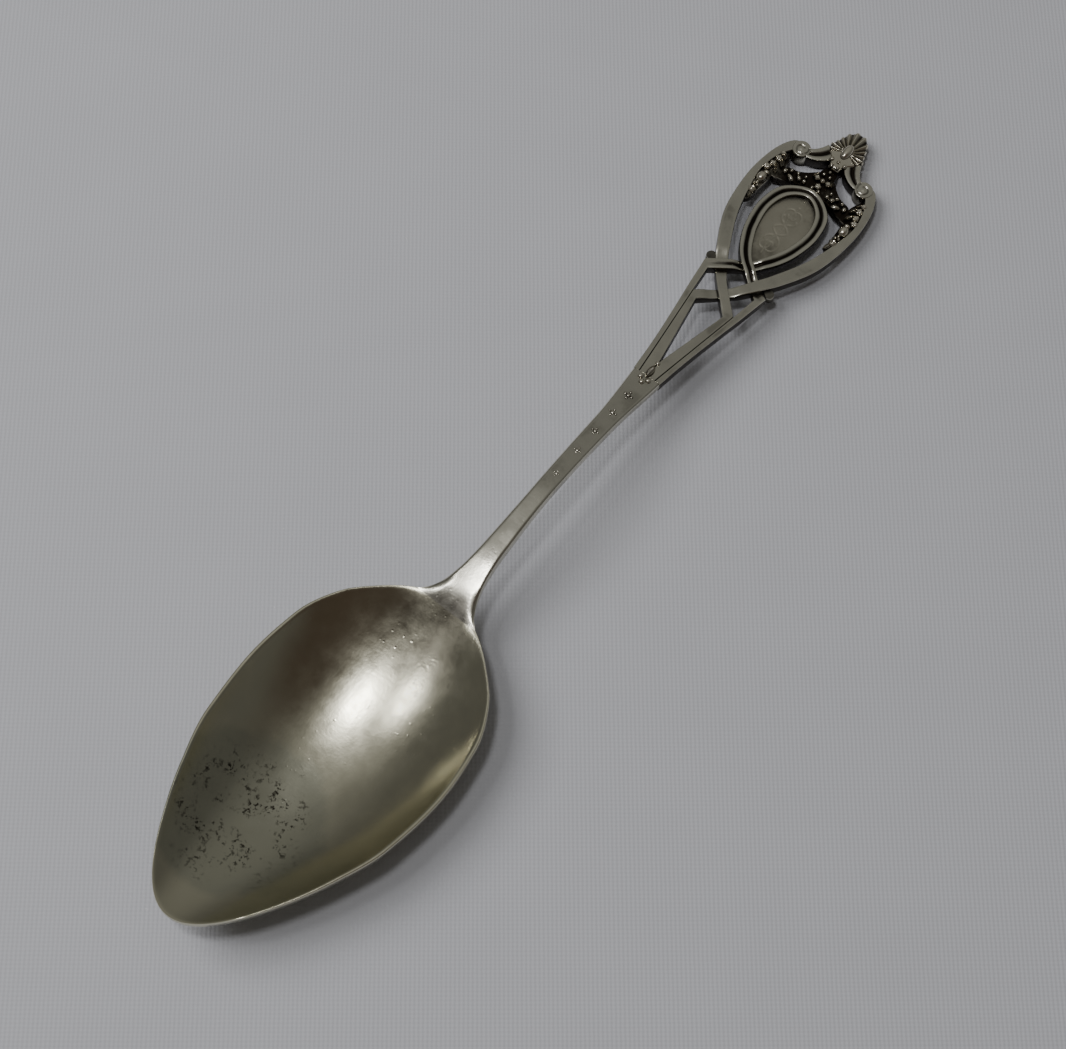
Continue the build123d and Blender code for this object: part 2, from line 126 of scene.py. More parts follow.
def under_z(x):
    return float(np.interp(x, TABLE_X, TABLE_UNDER))


def head(u, v, side=LEFT):
    """Plan point of the head from grid units: u from the fork, v from the middle line."""
    return FORK_X + u * HEAD_LENGTH / GRID_LENGTH, side * v * HEAD_HALF / GRID_HALF


def seat(u, v, side=LEFT, drop=0.25):
    """Point at a grid point of the head, a drop below the handle's face."""
    x, y = head(u, v, side)
    return x, y, face_z(x) - drop


def smooth_step(t):
    t = min(max(t, 0.0), 1.0)
    return t * t * (3 - 2 * t)


def smooth_min(a, b, reach):
    near = max(reach - abs(a - b), 0.0) / reach
    return min(a, b) - near * near * reach / 4


def mix(a, b, t):
    return a + (b - a) * t


# ---- mesh helpers


FOOT_SINK = 0.3
WELD, DEGENERATE = 2e-6, 1e-8  # metres


def turned(x, y, px, py, turn):
    """Plan point (px, py) turned by an angle and moved to (x, y)."""
    return x + px * cos(turn) - py * sin(turn), y + px * sin(turn) + py * cos(turn)


class Shape:
    """Vertices (x, y, z and a colour value) and faces of one piece. The colour value is 0 in recesses,
    where it gives tarnish and painted shade, and 1 on worn edges and raised tops, where it gives wear and
    painted highlight.
    """

    def __init__(self):
        self.points = []
        self.faces = []

    def row(self, points):
        start = len(self.points)
        self.points.extend(points)
        return list(range(start, len(self.points)))

    def sheet(self, rows, closed=False):
        """Quads between rows of points of equal length. Returns the first and last row's indices."""
        indexed = [self.row(points) for points in rows]
        for lower, upper in zip(indexed, indexed[1:]):
            count = len(lower)
            for k in range(count if closed else count - 1):
                after = (k + 1) % count
                self.faces.append((lower[k], lower[after], upper[after], upper[k]))
        return indexed[0], indexed[-1]

    def tube(self, rows):
        """Closed sheet with a cap at each end."""
        for loop in self.sheet(rows, closed=True):
            self.cap(loop)

    def skins(self, tops, unders, edges=(0, -1)):
        """Upper and lower sheet, joined along the rows' first or last points."""
        self.sheet(tops)
        self.sheet(unders)
        for edge in edges:
            self.sheet([[row[edge] for row in tops], [row[edge] for row in unders]])

    def cap(self, loop):
        """Fan that closes a loop."""
        centre = [sum(self.points[i][axis] for i in loop) / len(loop) for axis in range(4)]
        middle = self.row([tuple(centre)])[0]
        for k, index in enumerate(loop):
            self.faces.append((index, loop[(k + 1) % len(loop)], middle))

    def dome(self, place, rx, ry, rise, turn=0.0, wear_and_shading=1.0, lobes=0, dent=0.0):
        """Oval bead whose foot stands at a place: lobes give it petals, dent a hollow centre."""
        x, y, ground = place
        around = 40 if lobes else 20
        rings = 6
        rows = []
        for ring in range(rings + 1):
            climb = pi / 2 * ring / rings
            rows.append([])
            for k in range(around):
                angle = 2 * pi * k / around
                petal = 1 + 0.16 * cos(lobes * angle) * sin(climb + 0.4) if lobes else 1.0
                out = cos(climb) * petal
                px, py = rx * out * cos(angle), ry * out * sin(angle)
                hollow = exp(-((out / 0.3) ** 2))
                pz = ground + rise * sin(climb) - dent * hollow
                # Painted highlight on the bead's top, painted shade towards its foot, and tarnish with
                # painted shade in a dented centre
                shade = wear_and_shading * (0.25 + 0.75 * sin(climb)) * (1 - 0.8 * min(dent * 3, 1) * hollow)
                rows[-1].append((*turned(x, y, px, py, turn), pz, shade))
        foot = [(px, py, ground - FOOT_SINK, 0.0) for px, py, _, _ in rows[0]]
        self.tube([foot] + rows[:-1])

    def leaf(self, place, length, width, rise, turn):
        """Pointed leaf from its foot at a place, with a raised midrib and a groove each side of it."""
        x, y, ground = place
        steps, across = 14, 9
        rows = []
        for j in range(steps + 1):
            t = j / steps
            half = width / 2 * sin(pi * min(0.06 + 0.94 * t, 1.0)) ** 0.75 if t < 1 else 0.0
            arch = sin(pi * min(t + 0.12, 1.0)) * 0.6 + 0.4
            rows.append([])
            for k in range(across):
                s = 2 * k / (across - 1) - 1
                groove = exp(-(((abs(s) - 0.4) / 0.16) ** 2))
                height = rise * arch * (1 - 0.55 * abs(s) ** 1.5) + 0.16 * rise * exp(-((s / 0.16) ** 2))
                height -= 0.3 * rise * groove
                # Wear and a painted highlight on the midrib; tarnish and painted shade in the grooves and
                # along the edges
                shade = 0.35 + 0.65 * exp(-((s / 0.2) ** 2)) - 0.3 * groove
                if abs(s) == 1:
                    height, shade = -0.25, 0.0
                rows[-1].append((*turned(x, y, length * t, s * half, turn), ground + height, shade))
        floor = [[(px, py, ground - FOOT_SINK, 0.0) for px, py, _, _ in line] for line in rows]
        self.skins(rows, floor)
        self.sheet([rows[0], floor[0]])

    def plate(self, outline, top, shade=0.15):
        """Ground under an ornament: an outline of plan points, its rim rounded down."""
        cx = sum(x for x, y in outline) / len(outline)
        cy = sum(y for x, y in outline) / len(outline)
        # Low colour value on the ground round the ornament: tarnish and painted shade
        rounding = ((-0.35, 1.0, 0.1), (-0.06, 0.985, 0.5), (0.0, 0.95, shade))
        flat = [(0.0, scale, shade) for scale in (0.728, 0.55, 0.3)]
        loops = [[(x, y, under_z(x) + 0.1, 0.0) for x, y in outline]]
        for drop, scale, wear_and_shading in (*rounding, *flat):
            points = [(mix(cx, x, scale), mix(cy, y, scale)) for x, y in outline]
            loops.append([(x, y, face_z(x) + top + drop, wear_and_shading) for x, y in points])
        self.tube(loops)

    def build(self, name, slot, *nodes, sharp=35.0):
        """Object from the gathered points, in a slot's finish, riding in place of frame nodes."""
        mesh = bpy.data.meshes.new(name)
        work = bmesh.new()
        # Per-vertex colour value: low gives tarnish and painted shade, high gives wear and painted
        # highlight
        layer = work.verts.layers.float.new("wear_and_shading")
        verts = []
        for x, y, z, wear_and_shading in self.points:
            vert = work.verts.new((x * MM, y * MM, z * MM))
            vert[layer] = wear_and_shading
            verts.append(vert)
        for face in self.faces:
            work.faces.new([verts[index] for index in face])
        bmesh.ops.remove_doubles(work, verts=work.verts, dist=WELD)
        bmesh.ops.dissolve_degenerate(work, dist=DEGENERATE, edges=work.edges)
        bmesh.ops.recalc_face_normals(work, faces=work.faces)
        work.to_mesh(mesh)
        work.free()
        mesh.shade_smooth()
        mesh.set_sharp_from_angle(angle=radians(sharp))
        piece = bpy.data.objects.new(name, mesh)
        bpy.context.scene.collection.objects.link(piece)
        mesh.materials.append(finish(slot))
        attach(piece, "root")
        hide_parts(*nodes)


def curve_through(points, spacing, after=None):
    """Catmull-Rom samples through points of any dimension, about one spacing apart."""
    points = [np.array(p, float) for p in points]
    if len(points) == 2:
        step = points[1] - points[0]
        reach = max(np.linalg.norm(step[:2]), np.linalg.norm(step[-2:]))
        count = max(int(reach / spacing), 1)
        return [points[0] + step * k / count for k in range(count + 1)]
    beyond = 2 * points[-1] - points[-2] if after is None else np.array(after, float)
    ends = [2 * points[0] - points[1]] + points + [beyond]
    samples = [points[0]]
    for a, b, c, d in zip(ends, ends[1:], ends[2:], ends[3:]):
        gaps = (hypot(*(q - p)[:2]) for p, q in ((a, b), (b, c), (c, d)))
        before, along, after = (sqrt(max(gap, 1e-6)) for gap in gaps)
        lead = (c - b) + along * ((b - a) / before - (c - a) / (before + along))
        trail = (c - b) + along * ((d - c) / after - (d - b) / (along + after))
        count = max(int(hypot(*(c - b)[:2]) / spacing), 1)
        for k in range(1, count + 1):
            t = k / count
            cubic = 2 * b - 2 * c + lead + trail
            square = -3 * b + 3 * c - 2 * lead - trail
            samples.append(b + lead * t + square * t * t + cubic * t**3)
    return samples


# Share across a strap and height over its underside, from one edge to the other
BACK_OF_BAND = [(1.0, 0.25), (0.93, 0.05), (0.75, 0.0), (0.5, 0.0), (0.25, 0.0), (0.07, 0.05), (0.0, 0.25)]


def ribbon(shape, pairs, corners, profiles, side, lift, ridged=(0, 1), after=None):
    """Strap between two edges given as pairs (u, v, u, v) of grid points, mitred at the corners.

    A profile lists (share across, height over the face, colour value), the colour value giving wear and a
    painted highlight on the rounded edges and tarnish and painted shade on the side walls; the first one
    turns into the second between the two grid lengths of ridged. Lift gives the height that an interlaced
    strap gains or loses at a grid point. After is the pair that the strap's line heads for at its end.
    """
    breaks = [0] + sorted(corners) + [len(pairs) - 1]
    stations = []
    for start, stop in zip(breaks, breaks[1:]):
        run = curve_through(pairs[start:stop + 1], 0.3, after if stop == len(pairs) - 1 else None)
        stations.extend(run if not stations else run[1:])
    rows = []
    for au, av, bu, bv in stations:
        loop = []
        share_ridged = smooth_step((au - ridged[0]) / (ridged[1] - ridged[0]))
        for (share, plain_rise, plain_wear_and_shading), (_, ridge_rise, ridge_wear_and_shading) in zip(*profiles):
            u, v = mix(au, bu, share), mix(av, bv, share)
            x, y = head(u, v, side)
            rise = mix(plain_rise, ridge_rise, share_ridged)
            wear_and_shading = mix(plain_wear_and_shading, ridge_wear_and_shading, share_ridged)
            loop.append((x, y, face_z(x) + rise + lift(u, v), wear_and_shading))
        for share, rise in BACK_OF_BAND:
            x, y = head(mix(au, bu, share), mix(av, bv, share), side)
            loop.append((x, y, under_z(x) + rise, 0.0 if rise else 0.4))
        rows.append(loop)
    shape.tube(rows)


def both_edges(half):
    """Whole profile of a strap from the half that ends in its middle."""
    return half + [(1 - share, rise, wear_and_shading) for share, rise, wear_and_shading in reversed(half[:-1])]


# Third column: colour value, high on the rounded edges for wear and a painted highlight, zero on the side
# walls and in the groove between ridges for tarnish and painted shade
FLAT_BAND = both_edges([
    (0.0, -0.5, 0.0), (0.0, -0.13, 0.06), (0.025, -0.04, 1.0), (0.07, 0.0, 0.85), (0.2, 0.01, 0.62),
    (0.5, 0.02, 0.6),
])
PLAIN_BAND = both_edges([
    (0.0, -0.5, 0.0), (0.0, -0.13, 0.06), (0.04, -0.04, 1.0), (0.14, 0.0, 0.85), (0.27, 0.0, 0.62),
    (0.37, 0.0, 0.6), (0.44, 0.0, 0.6), (0.5, 0.0, 0.6),
])
TWO_RIDGES = both_edges([
    (0.0, -0.5, 0.0), (0.0, -0.2, 0.06), (0.04, -0.07, 0.95), (0.14, 0.0, 1.0), (0.27, -0.02, 0.75),
    (0.37, -0.1, 0.3), (0.44, -0.24, 0.0), (0.5, -0.28, 0.0),
])

# ---- bowl


def breadth(share):
    """Half-width of the bowl's plan at a share of its length from the tip."""
    squares = [(0, 0), (0.05, 0.097), (0.16, 0.326), (0.294, 0.618), (0.438, 0.887), (0.615, 1.0)]
    squares += [(0.7615, 0.904), (0.873, 0.627), (0.9365, 0.356), (1.0, (9.5 / 31) ** 2)]
    return BOWL_HALF * sqrt(max(ease(squares, share), 0.0))


def rim_z(share):
    """Height of the bowl's rim at a share of its length."""
    return ease([(0, 8.15), (0.27, 8.25), (0.58, 7.55), (1.0, 6.9)], share)


DEEPEST_SHARE, DEEPEST_Z = 0.53, 1.0
TIP_RISE, HEEL_RISE = 7.15, 5.6


def floor_z(share):
    """Height of the bowl's inner face along its middle line."""
    if share < DEEPEST_SHARE:
        return DEEPEST_Z + TIP_RISE * ((DEEPEST_SHARE - share) / DEEPEST_SHARE) ** 2.3
    return DEEPEST_Z + HEEL_RISE * ((share - DEEPEST_SHARE) / (1 - DEEPEST_SHARE)) ** 1.9


INNER_SHARE = 1 - 1.0 / 31
STEEPENING = 0.4


def inner_z(x, y):
    """Height of the bowl's inner face, which steepens towards the rim."""
    share = min(max((x - TIP_X) / BOWL_LENGTH, 0.0), 1.0)
    near = max(share, 0.03)
    half = breadth(near) * INNER_SHARE
    sag = (rim_z(near) - floor_z(near)) / half**2
    fullest = (BOWL_HALF * INNER_SHARE) ** 2
    return floor_z(share) + sag * y * y * (1 + STEEPENING * (y * y - half * half) / fullest)


def outer_z(x, y, metal):
    """Height of the bowl's underside, a metal thickness away from the inner face."""
    step = 0.05
    slope_x = (inner_z(x + step, y) - inner_z(x - step, y)) / (2 * step)
    slope_y = (inner_z(x, y + step) - inner_z(x, y - step)) / (2 * step)
    return inner_z(x, y) - metal * sqrt(1 + slope_x**2 + slope_y**2)


def lean(x):
    """Sideways set of the bowl, which grows towards its worn tip."""
    straight, most = 14.0, 1.35
    return most * (max(HEEL_X - straight - x, 0.0) / (BOWL_LENGTH - straight)) ** 2


# Distances in from the rim, and how far its first ones drop to round it
RIM_STEPS = [0, 0.03, 0.08, 0.16, 0.26, 0.36, 0.46, 0.56, 0.68, 0.82, 1.0, 1.25, 1.6, 2.2, 3.2]
RIM_DROPS = [0.24, 0.12, 0.04, 0.01, 0.0, 0.01]
INNER_COLUMNS = 14
MIDDLE_RUN = 40.0
RIM_METAL, HEEL_METAL = 1.0, 1.45
RIM_BLEND = 0.2


def bowl_column(share):
    """Points from the rim to the middle line, on the inner face and on the underside."""
    x_out, y_out = TIP_X + share * BOWL_LENGTH, breadth(share)
    x_mid = HEEL_X - (1 - share) * MIDDLE_RUN
    reach = hypot(x_out - x_mid, y_out)
    shrink = min(1.0, reach / 9.0)
    inward = [step * shrink for step in RIM_STEPS]
    rest = reach - inward[-1]
    inward += [inward[-1] + rest * k / INNER_COLUMNS for k in range(1, INNER_COLUMNS + 1)]
    metal = mix(RIM_METAL, HEEL_METAL, smooth_step((share - 0.86) / 0.14))
    top, under = [], []
    for k, away in enumerate(inward):
        t = away / reach
        x, y = mix(x_out, x_mid, t), y_out * (1 - t)
        rim = rim_z(min(max((x - TIP_X) / BOWL_LENGTH, 0.0), 1.0))
        z = smooth_min(inner_z(x, y), rim, RIM_BLEND)
        if k < len(RIM_DROPS):
            z = min(z, rim - RIM_DROPS[k])
        # Bright band just inside the rim: wear and a painted highlight on the rounded rim
        rim_wear_and_highlight = exp(-(((away - 0.2 * shrink) / 0.25) ** 2))
        top.append((x, y, z, 0.55 + 0.45 * rim_wear_and_highlight))
        low = min(outer_z(x, y, metal), z - 0.2)
        under.append((x, y, max(low, 0.0), 0.5))
    return top, under


def heel_loop():
    """Closed loop of points where the bowl meets the neck."""
    top, under = bowl_column(1.0)
    mirrored = [(x, -y, z, wear_and_shading) for x, y, z, wear_and_shading in reversed(top[:-1])]
    below = [(x, -y, z, wear_and_shading) for x, y, z, wear_and_shading in under[:-1]]
    return top + mirrored + below + list(reversed(under))


def bowl_shape():
    shape = Shape()
    count = 72
    shares = [1 - cos(pi / 2 * k / count) for k in range(count + 1)]
    shares += [1 - 0.3 / BOWL_LENGTH * k for k in range(1, 9)]
    columns = [bowl_column(share) for share in sorted(set(shares))]
    for side in (LEFT, RIGHT):
        tops, unders = (
            [[(x, side * y + lean(x), z, wear_and_shading) for x, y, z, wear_and_shading in column[face]] for column in columns]
            for face in (0, 1)
        )
        shape.skins(tops, unders, edges=(0,))
    return shape


# ---- neck and stem


# Half-width of the neck and the stem in plan
STEM_HALF = [(HEEL_X, 4.75), (HEEL_X + 1.2, 3.6), (HEEL_X + 3.5, 2.5), (HEEL_X + 6.5, 1.85), (STEM_X, 1.55)]
STEM_HALF += [(ARCH_X, 1.3), (FORK_X - 0.3 * (FORK_X - STEM_X), 1.456), (FORK_X, 2.15)]
EDGE_ROUND = 0.42
CROWN = 0.05
HEEL_BLEND = 5.0
SLOPE_STEP = 0.3


def heel_slope(y):
    """Slope along the spoon of the bowl's inner face where it meets the neck."""
    heights = []
    for x in (HEEL_X - SLOPE_STEP, HEEL_X):
        rim = rim_z((x - TIP_X) / BOWL_LENGTH)
        heights.append(smooth_min(inner_z(x, y), rim, RIM_BLEND))
    return (heights[1] - heights[0]) / SLOPE_STEP


def stem_section(x, fractions, top_count):
    """Height and colour value round the stem's section, at shares of its half-width. The colour value gives
    wear and a painted highlight along the rounded edges.
    """
    half = ease(STEM_HALF, x)
    top, bottom = face_z(x), under_z(x)
    mid = mix(top, bottom, 0.5)
    section = []
    for k, share in enumerate(fractions):
        if k >= top_count:
            belly = sqrt(max(1 - share * share, 0.0))
            section.append((share * half, mix(mid - 0.25, bottom, belly**0.8), 0.5))
            continue
        edge = min(half * (1 - abs(share)) / EDGE_ROUND, 1.0)
        fall = 1 - sqrt(1 - (1 - edge) ** 2)
        # Wear and a painted highlight along the rounded edge
        wear_and_shading = 0.5 + 0.5 * exp(-(((edge - 0.5) / 0.35) ** 2))
        section.append((share * half, top - EDGE_ROUND * fall - CROWN * share * share, wear_and_shading))
    return section


def stem_shape():
    """Neck and stem, which leave the bowl's heel with its height and slope."""
    shape = Shape()
    heel = heel_loop()
    fractions = [point[1] / heel[0][1] for point in heel]
    top_count = 2 * (len(RIM_STEPS) + INNER_COLUMNS) - 1
    length = FORK_X - HEEL_X
    count = 110
    stations = [0, 0.15, 0.3, 0.5, 0.75]
    stations += [1.0 + (length - 1.0) * k / count for k in range(count + 1)]
    neck_slope = (face_z(HEEL_X + SLOPE_STEP) - face_z(HEEL_X)) / SLOPE_STEP
    bends = [heel_slope(point[1]) - neck_slope for point in heel[:top_count]]
    bends += [0.0] * (len(heel) - top_count)
    start = stem_section(HEEL_X, fractions, top_count)
    steps = [point[2] - begun[1] for point, begun in zip(heel, start)]
    rows = []
    for along in stations:
        blend = smooth_step(along / HEEL_BLEND)
        row = []
        for k, (y, z, wear_and_shading) in enumerate(stem_section(HEEL_X + along, fractions, top_count)):
            z += (bends[k] * along + steps[k]) * (1 - blend)
            row.append((HEEL_X + along, y, z, mix(heel[k][3], wear_and_shading, blend)))
        rows.append(row)
    _, last = shape.sheet(rows, closed=True)
    shape.cap(last)
    return shape


def stem_pearls_shape():
    """Graded pearl crosses and a trefoil along the stem's face."""
    shape = Shape()
    for order, back in enumerate((4.2, 7.8, 11.7, 15.6, 20.1)):
        x = FORK_X - back
        size = 0.34 - 0.03 * order
        rise = 0.2 - 0.035 * order
        shape.dome((x, 0, face_z(x)), size, size, rise, wear_and_shading=0.7)
        for turn in (0, 90, 180, 270):
            px = x + 1.55 * size * cos(radians(turn))
            py = 1.55 * size * sin(radians(turn))
            shape.dome((px, py, face_z(px)), 0.62 * size, 0.62 * size, rise * 0.7, wear_and_shading=0.68)
    for ahead, y, size in ((-1.25, 0, 0.4), (-0.6, 0.62, 0.38), (-0.6, -0.62, 0.38), (2.5, 0, 0.33)):
        x = FORK_X + ahead
        shape.dome((x, y, face_z(x)), size * 1.1, size * 1.1, size * 0.8)
    foot = FORK_X - 0.25
    shape.leaf((foot, 0, face_z(foot)), 2.1, 1.15, 0.55, 0.0)
    return shape


# ---- interlaced bands

WIDE_BAND = [
    (0, 0.04, 0, 1.25), (3.2, 0.04, 3.2, 1.68), (14.6, 2.25, 15.6, 3.4), (17.9, -0.95, 19.1, -0.1),
    (19.3, -2.25, 20.2, -0.98), (21.6, -3.9, 22.4, -2.35), (24, -5.4, 24.7, -3.62),
    (29, -7.8, 29.6, -5.9), (34, -8.8, 33.9, -7.15), (39, -9.0, 38.5, -7.95),
    (43.4, -8.25, 42.1, -7.35), (45.6, -7.1, 44.0, -6.35), (46.2, -6.0, 44.9, -5.6),
]
NARROW_BAND = [
    (0, 2.15, 0, 1.33), (5.3, 2.75, 5.3, 2.03), (13.6, 4.05, 13.6, 3.17), (15.6, 4.4, 15.6, 3.44),
    (20.9, 5.2, 19.75, 3.95), (24.3, 0.85, 22.85, 0.1), (25.0, 0, 23.7, -1.0), (26.6, -1.15, 25.1, -2.3),
    (28.2, -1.95, 27.0, -3.45), (30.2, -2.7, 29.5, -4.4), (34.3, -3.25, 34.2, -5.0),
    (37.4, -2.2, 38.3, -3.8), (38.8, 0, 40.4, 0),
]


def crossing_lift(places):
    """Height gained or lost near crossings given as (u, v, amount, reach)."""
    def lift(u, v):
        total = 0.0
        for cu, cv, amount, reach in places:
            total += amount * exp(-(((u - cu) ** 2 + (v - cv) ** 2) / reach**2) ** 2)
        return total
    return lift


OVER, UNDER = 0.1, -0.5
WIDE_CROSSINGS = {
    LEFT: [(17.7, 0.2, UNDER, 2.2), (21.9, -3.1, OVER, 2.2)],
    RIGHT: [(17.7, 0.2, OVER, 2.2), (21.9, -3.1, UNDER, 2.0)],
}
NARROW_CROSSINGS = {
    LEFT: [(21.9, 3.0, OVER, 2.2), (24.0, 0.0, UNDER, 1.7)],
    RIGHT: [(21.9, 3.0, UNDER, 2.0), (24.0, 0.0, OVER, 1.7)],
}


def wide_band_shape(side):
    shape = Shape()
    ribbon(shape, WIDE_BAND, [1, 2], (FLAT_BAND, FLAT_BAND), side, crossing_lift(WIDE_CROSSINGS[side]))
    return shape


def narrow_band_shape(side):
    shape = Shape()
    lift = crossing_lift(NARROW_CROSSINGS[side])
    ribbon(shape, NARROW_BAND, [4], (PLAIN_BAND, TWO_RIDGES), side, lift, (20, 25), (37.4, 2.2, 38.3, 3.8))
    return shape


def tip_curl_shape(side):
    shape = Shape()
    corners = [(21.35, 4.95), (21.6, 5.5), (22.2, 5.7), (22.8, 5.35), (22.9, 4.7), (22.2, 3.9)]
    smooth = [tuple(p) for p in curve_through(corners, 0.25)]
    shape.plate([head(u, v, side) for u, v in smooth], top=-0.55, shade=0.25)
    return shape


# ---- medallion

PLATE_RECESS = 0.75


def flourish_lines():
    """Generic engraved scrollwork on the medallion's plate, in millimetres about its centre."""
    lines = []
    turns = 40
    for flip in (1, -1):
        for mirror in (1, -1):
            scroll = []
            for k in range(turns):
                t = k / (turns - 1)
                angle = 2.4 * pi * t
                radius = 1.25 * (1 - 0.8 * t)
                px = 3.0 - radius * cos(angle) * 1.25
                py = 0.35 + radius * sin(angle) * 0.95
                scroll.append((flip * px, mirror * py))
            lines.append(scroll)
            tendril = [(1.2 + 1.3 * t, 0.25 + 1.5 * t * (1.5 - t)) for t in (0, 0.25, 0.5, 0.75, 1)]
            lines.append([(flip * px, mirror * py) for px, py in tendril])
    lines.append([(-4.8, 0), (-2.4, 0.25), (0, -0.25), (2.4, 0.25), (4.8, 0)])
    crown = [(-1.0, 0), (-0.5, 0.75), (0, 1.1), (0.5, 0.75), (1.0, 0)]
    lines.append(crown + [(px, -py) for px, py in reversed(crown[:-1])])
    samples = []
    for line in lines:
        samples.extend(tuple(point) for point in curve_through(line, 0.08))
    return np.array(samples)


PLATE_HALF = [
    (24.6, 0.0), (25.0, 0.35), (26.6, 1.35), (28.2, 2.1), (30.2, 2.85), (34.3, 3.4), (37.4, 2.35),
    (38.9, 0.0),
]
PLATE_COLUMNS, PLATE_ACROSS = 170, 60
PLATE_METAL = 0.7
CUT_WIDTH, CUT_DEPTH = 0.1, 0.05


def medallion_shape():
    """Recessed plate, level across and sloped along the spoon, with the flourish cut into it."""
    shape = Shape()
    edge_line = np.array([head(u, v) for u, v in curve_through(PLATE_HALF, 0.1)])
    start_x, stop_x = edge_line[0][0], edge_line[-1][0]
    low, high = face_z(start_x) - PLATE_RECESS, face_z(stop_x) - PLATE_RECESS
    order = np.argsort(edge_line[:, 0])
    strokes = flourish_lines() + np.array([[mix(start_x, stop_x, 0.52), 0.0]])
    tops, unders = [], []
    for j in range(PLATE_COLUMNS + 1):
        t = (1 - cos(pi * j / PLATE_COLUMNS)) / 2
        x, z = mix(start_x, stop_x, t), mix(low, high, t)
        half = max(float(np.interp(x, edge_line[order, 0], edge_line[order, 1])), 0.0)
        tops.append([])
        unders.append([])
        for k in range(PLATE_ACROSS + 1):
            y = half * (2 * k / PLATE_ACROSS - 1)
            gap = float(np.min(np.hypot(strokes[:, 0] - x, strokes[:, 1] - y)))
            cut = exp(-((gap / CUT_WIDTH) ** 2))
            tops[-1].append((x, y, z - CUT_DEPTH * cut, 0.5 + 0.2 * cut))
            unders[-1].append((x, y, z - PLATE_METAL, 0.4))
    shape.skins(tops, unders)
    return shape


# ---- applied ornament


def smooth_outline(corners, side):
    """Smooth closed outline through grid points, in plan."""
    loop = curve_through(corners + [corners[0]], 0.3)[:-1]
    return [head(u, v, side) for u, v in loop]


def husk_shape(side):
    """Pendant husk on the band's outer edge: a long leaf, a floret, seeds and a large pearl."""
    shape = Shape()
    outline = [(33.0, 7.0), (33.6, 6.5), (36, 6.35), (39.0, 6.4), (39.0, 7.6), (37.8, 8.05), (35.5, 7.75)]
    shape.plate(smooth_outline(outline, side), top=-0.45)
    shape.leaf(seat(33.2, 6.5, side, 0.3), 1.5, 0.9, 0.45, side * 0.3)
    shape.dome(seat(34.8, 7.0, side, 0.2), 0.62, 0.62, 0.5, lobes=5, dent=0.3)
    for u, v in ((35.75, 6.75), (35.85, 7.3), (36.25, 7.02)):
        shape.dome(seat(u, v, side), 0.3, 0.24, 0.42)
    shape.dome(seat(37.35, 7.1, side, 0.15), 0.92, 0.74, 0.72)
    shape.dome(seat(38.5, 7.0, side), 0.36, 0.5, 0.4)
    return shape


def spray_shape(side):
    """Cluster of florets and leaves between the pearl and the volute."""
    shape = Shape()
    outline = [(38.9, 7.9), (38.9, 5.5), (41.3, 5.5), (42.4, 5.8), (43.6, 6.5), (43.7, 7.3), (41.5, 8.1)]
    shape.plate(smooth_outline(outline, side), top=-0.5)
    florets = ((39.4, 7.6, 0.62, 5), (40.35, 7.2, 0.55, 4), (41.6, 7.0, 0.62, 5), (42.7, 7.0, 0.5, 4))
    for u, v, size, petals in florets:
        shape.dome(seat(u, v, side), size, size * 0.9, 0.5, turn=u, lobes=petals, dent=0.15)
    for u, v, turn, length in ((39.2, 6.0, 0.5, 1.7), (40.6, 5.9, 0.45, 1.6), (41.9, 6.2, 0.5, 1.3)):
        shape.leaf(seat(u, v, side, 0.35), length, 0.75, 0.45, side * turn)
    return shape


def swag_shape(side):
    """Garland that hangs from the spray to the palmette."""
    shape = Shape()
    outline = [
        (39.0, 5.5), (39.2, 4.5), (39.6, 3.6), (39.9, 2.6), (40.3, 1.1), (43.6, 1.3), (42.6, 2.6),
        (41.9, 3.7), (41.3, 5.5),
    ]
    shape.plate(smooth_outline(outline, side), top=-0.55)
    for u, v, rx, ry, turn in (
        (40.0, 3.9, 0.72, 0.36, 1.15), (40.5, 5.1, 0.42, 0.36, 0), (41.1, 4.4, 0.34, 0.3, 0),
        (40.7, 2.9, 0.46, 0.34, 0.9), (40.7, 2.0, 0.36, 0.32, 0), (41.5, 2.2, 0.3, 0.26, 0),
        (41.3, 3.4, 0.34, 0.28, 0.6),
    ):
        shape.dome(seat(u, v, side, 0.3), rx, ry, 0.46, turn=side * turn)
    shape.leaf(seat(42.4, 1.6, side, 0.35), 1.4, 0.7, 0.4, -side * 0.45)
    return shape


def palmette_shape():
    """Florets and seeds on the middle line below the shell."""
    shape = Shape()
    half = [(40.3, 1.1), (43.6, 1.3), (45.1, 0.85)]
    outline = [(39.9, 0)] + half + [(u, -v) for u, v in reversed(half)]
    shape.plate(smooth_outline(outline, LEFT), top=-0.5)
    florets = ((41.3, 0.0, 0.52, 5), (42.5, 0.0, 0.4, 0), (42.5, 0.92, 0.46, 4), (42.5, -0.92, 0.46, 4))
    for u, v, size, petals in florets:
        shape.dome(seat(u, v), size, size, 0.5, lobes=petals, dent=0.15 if petals else 0)
    for u, v in ((43.6, 0.5), (43.6, -0.5), (44.4, 0.0), (40.6, 0.55), (40.6, -0.55)):
        shape.dome(seat(u, v), 0.3, 0.26, 0.4)
    return shape


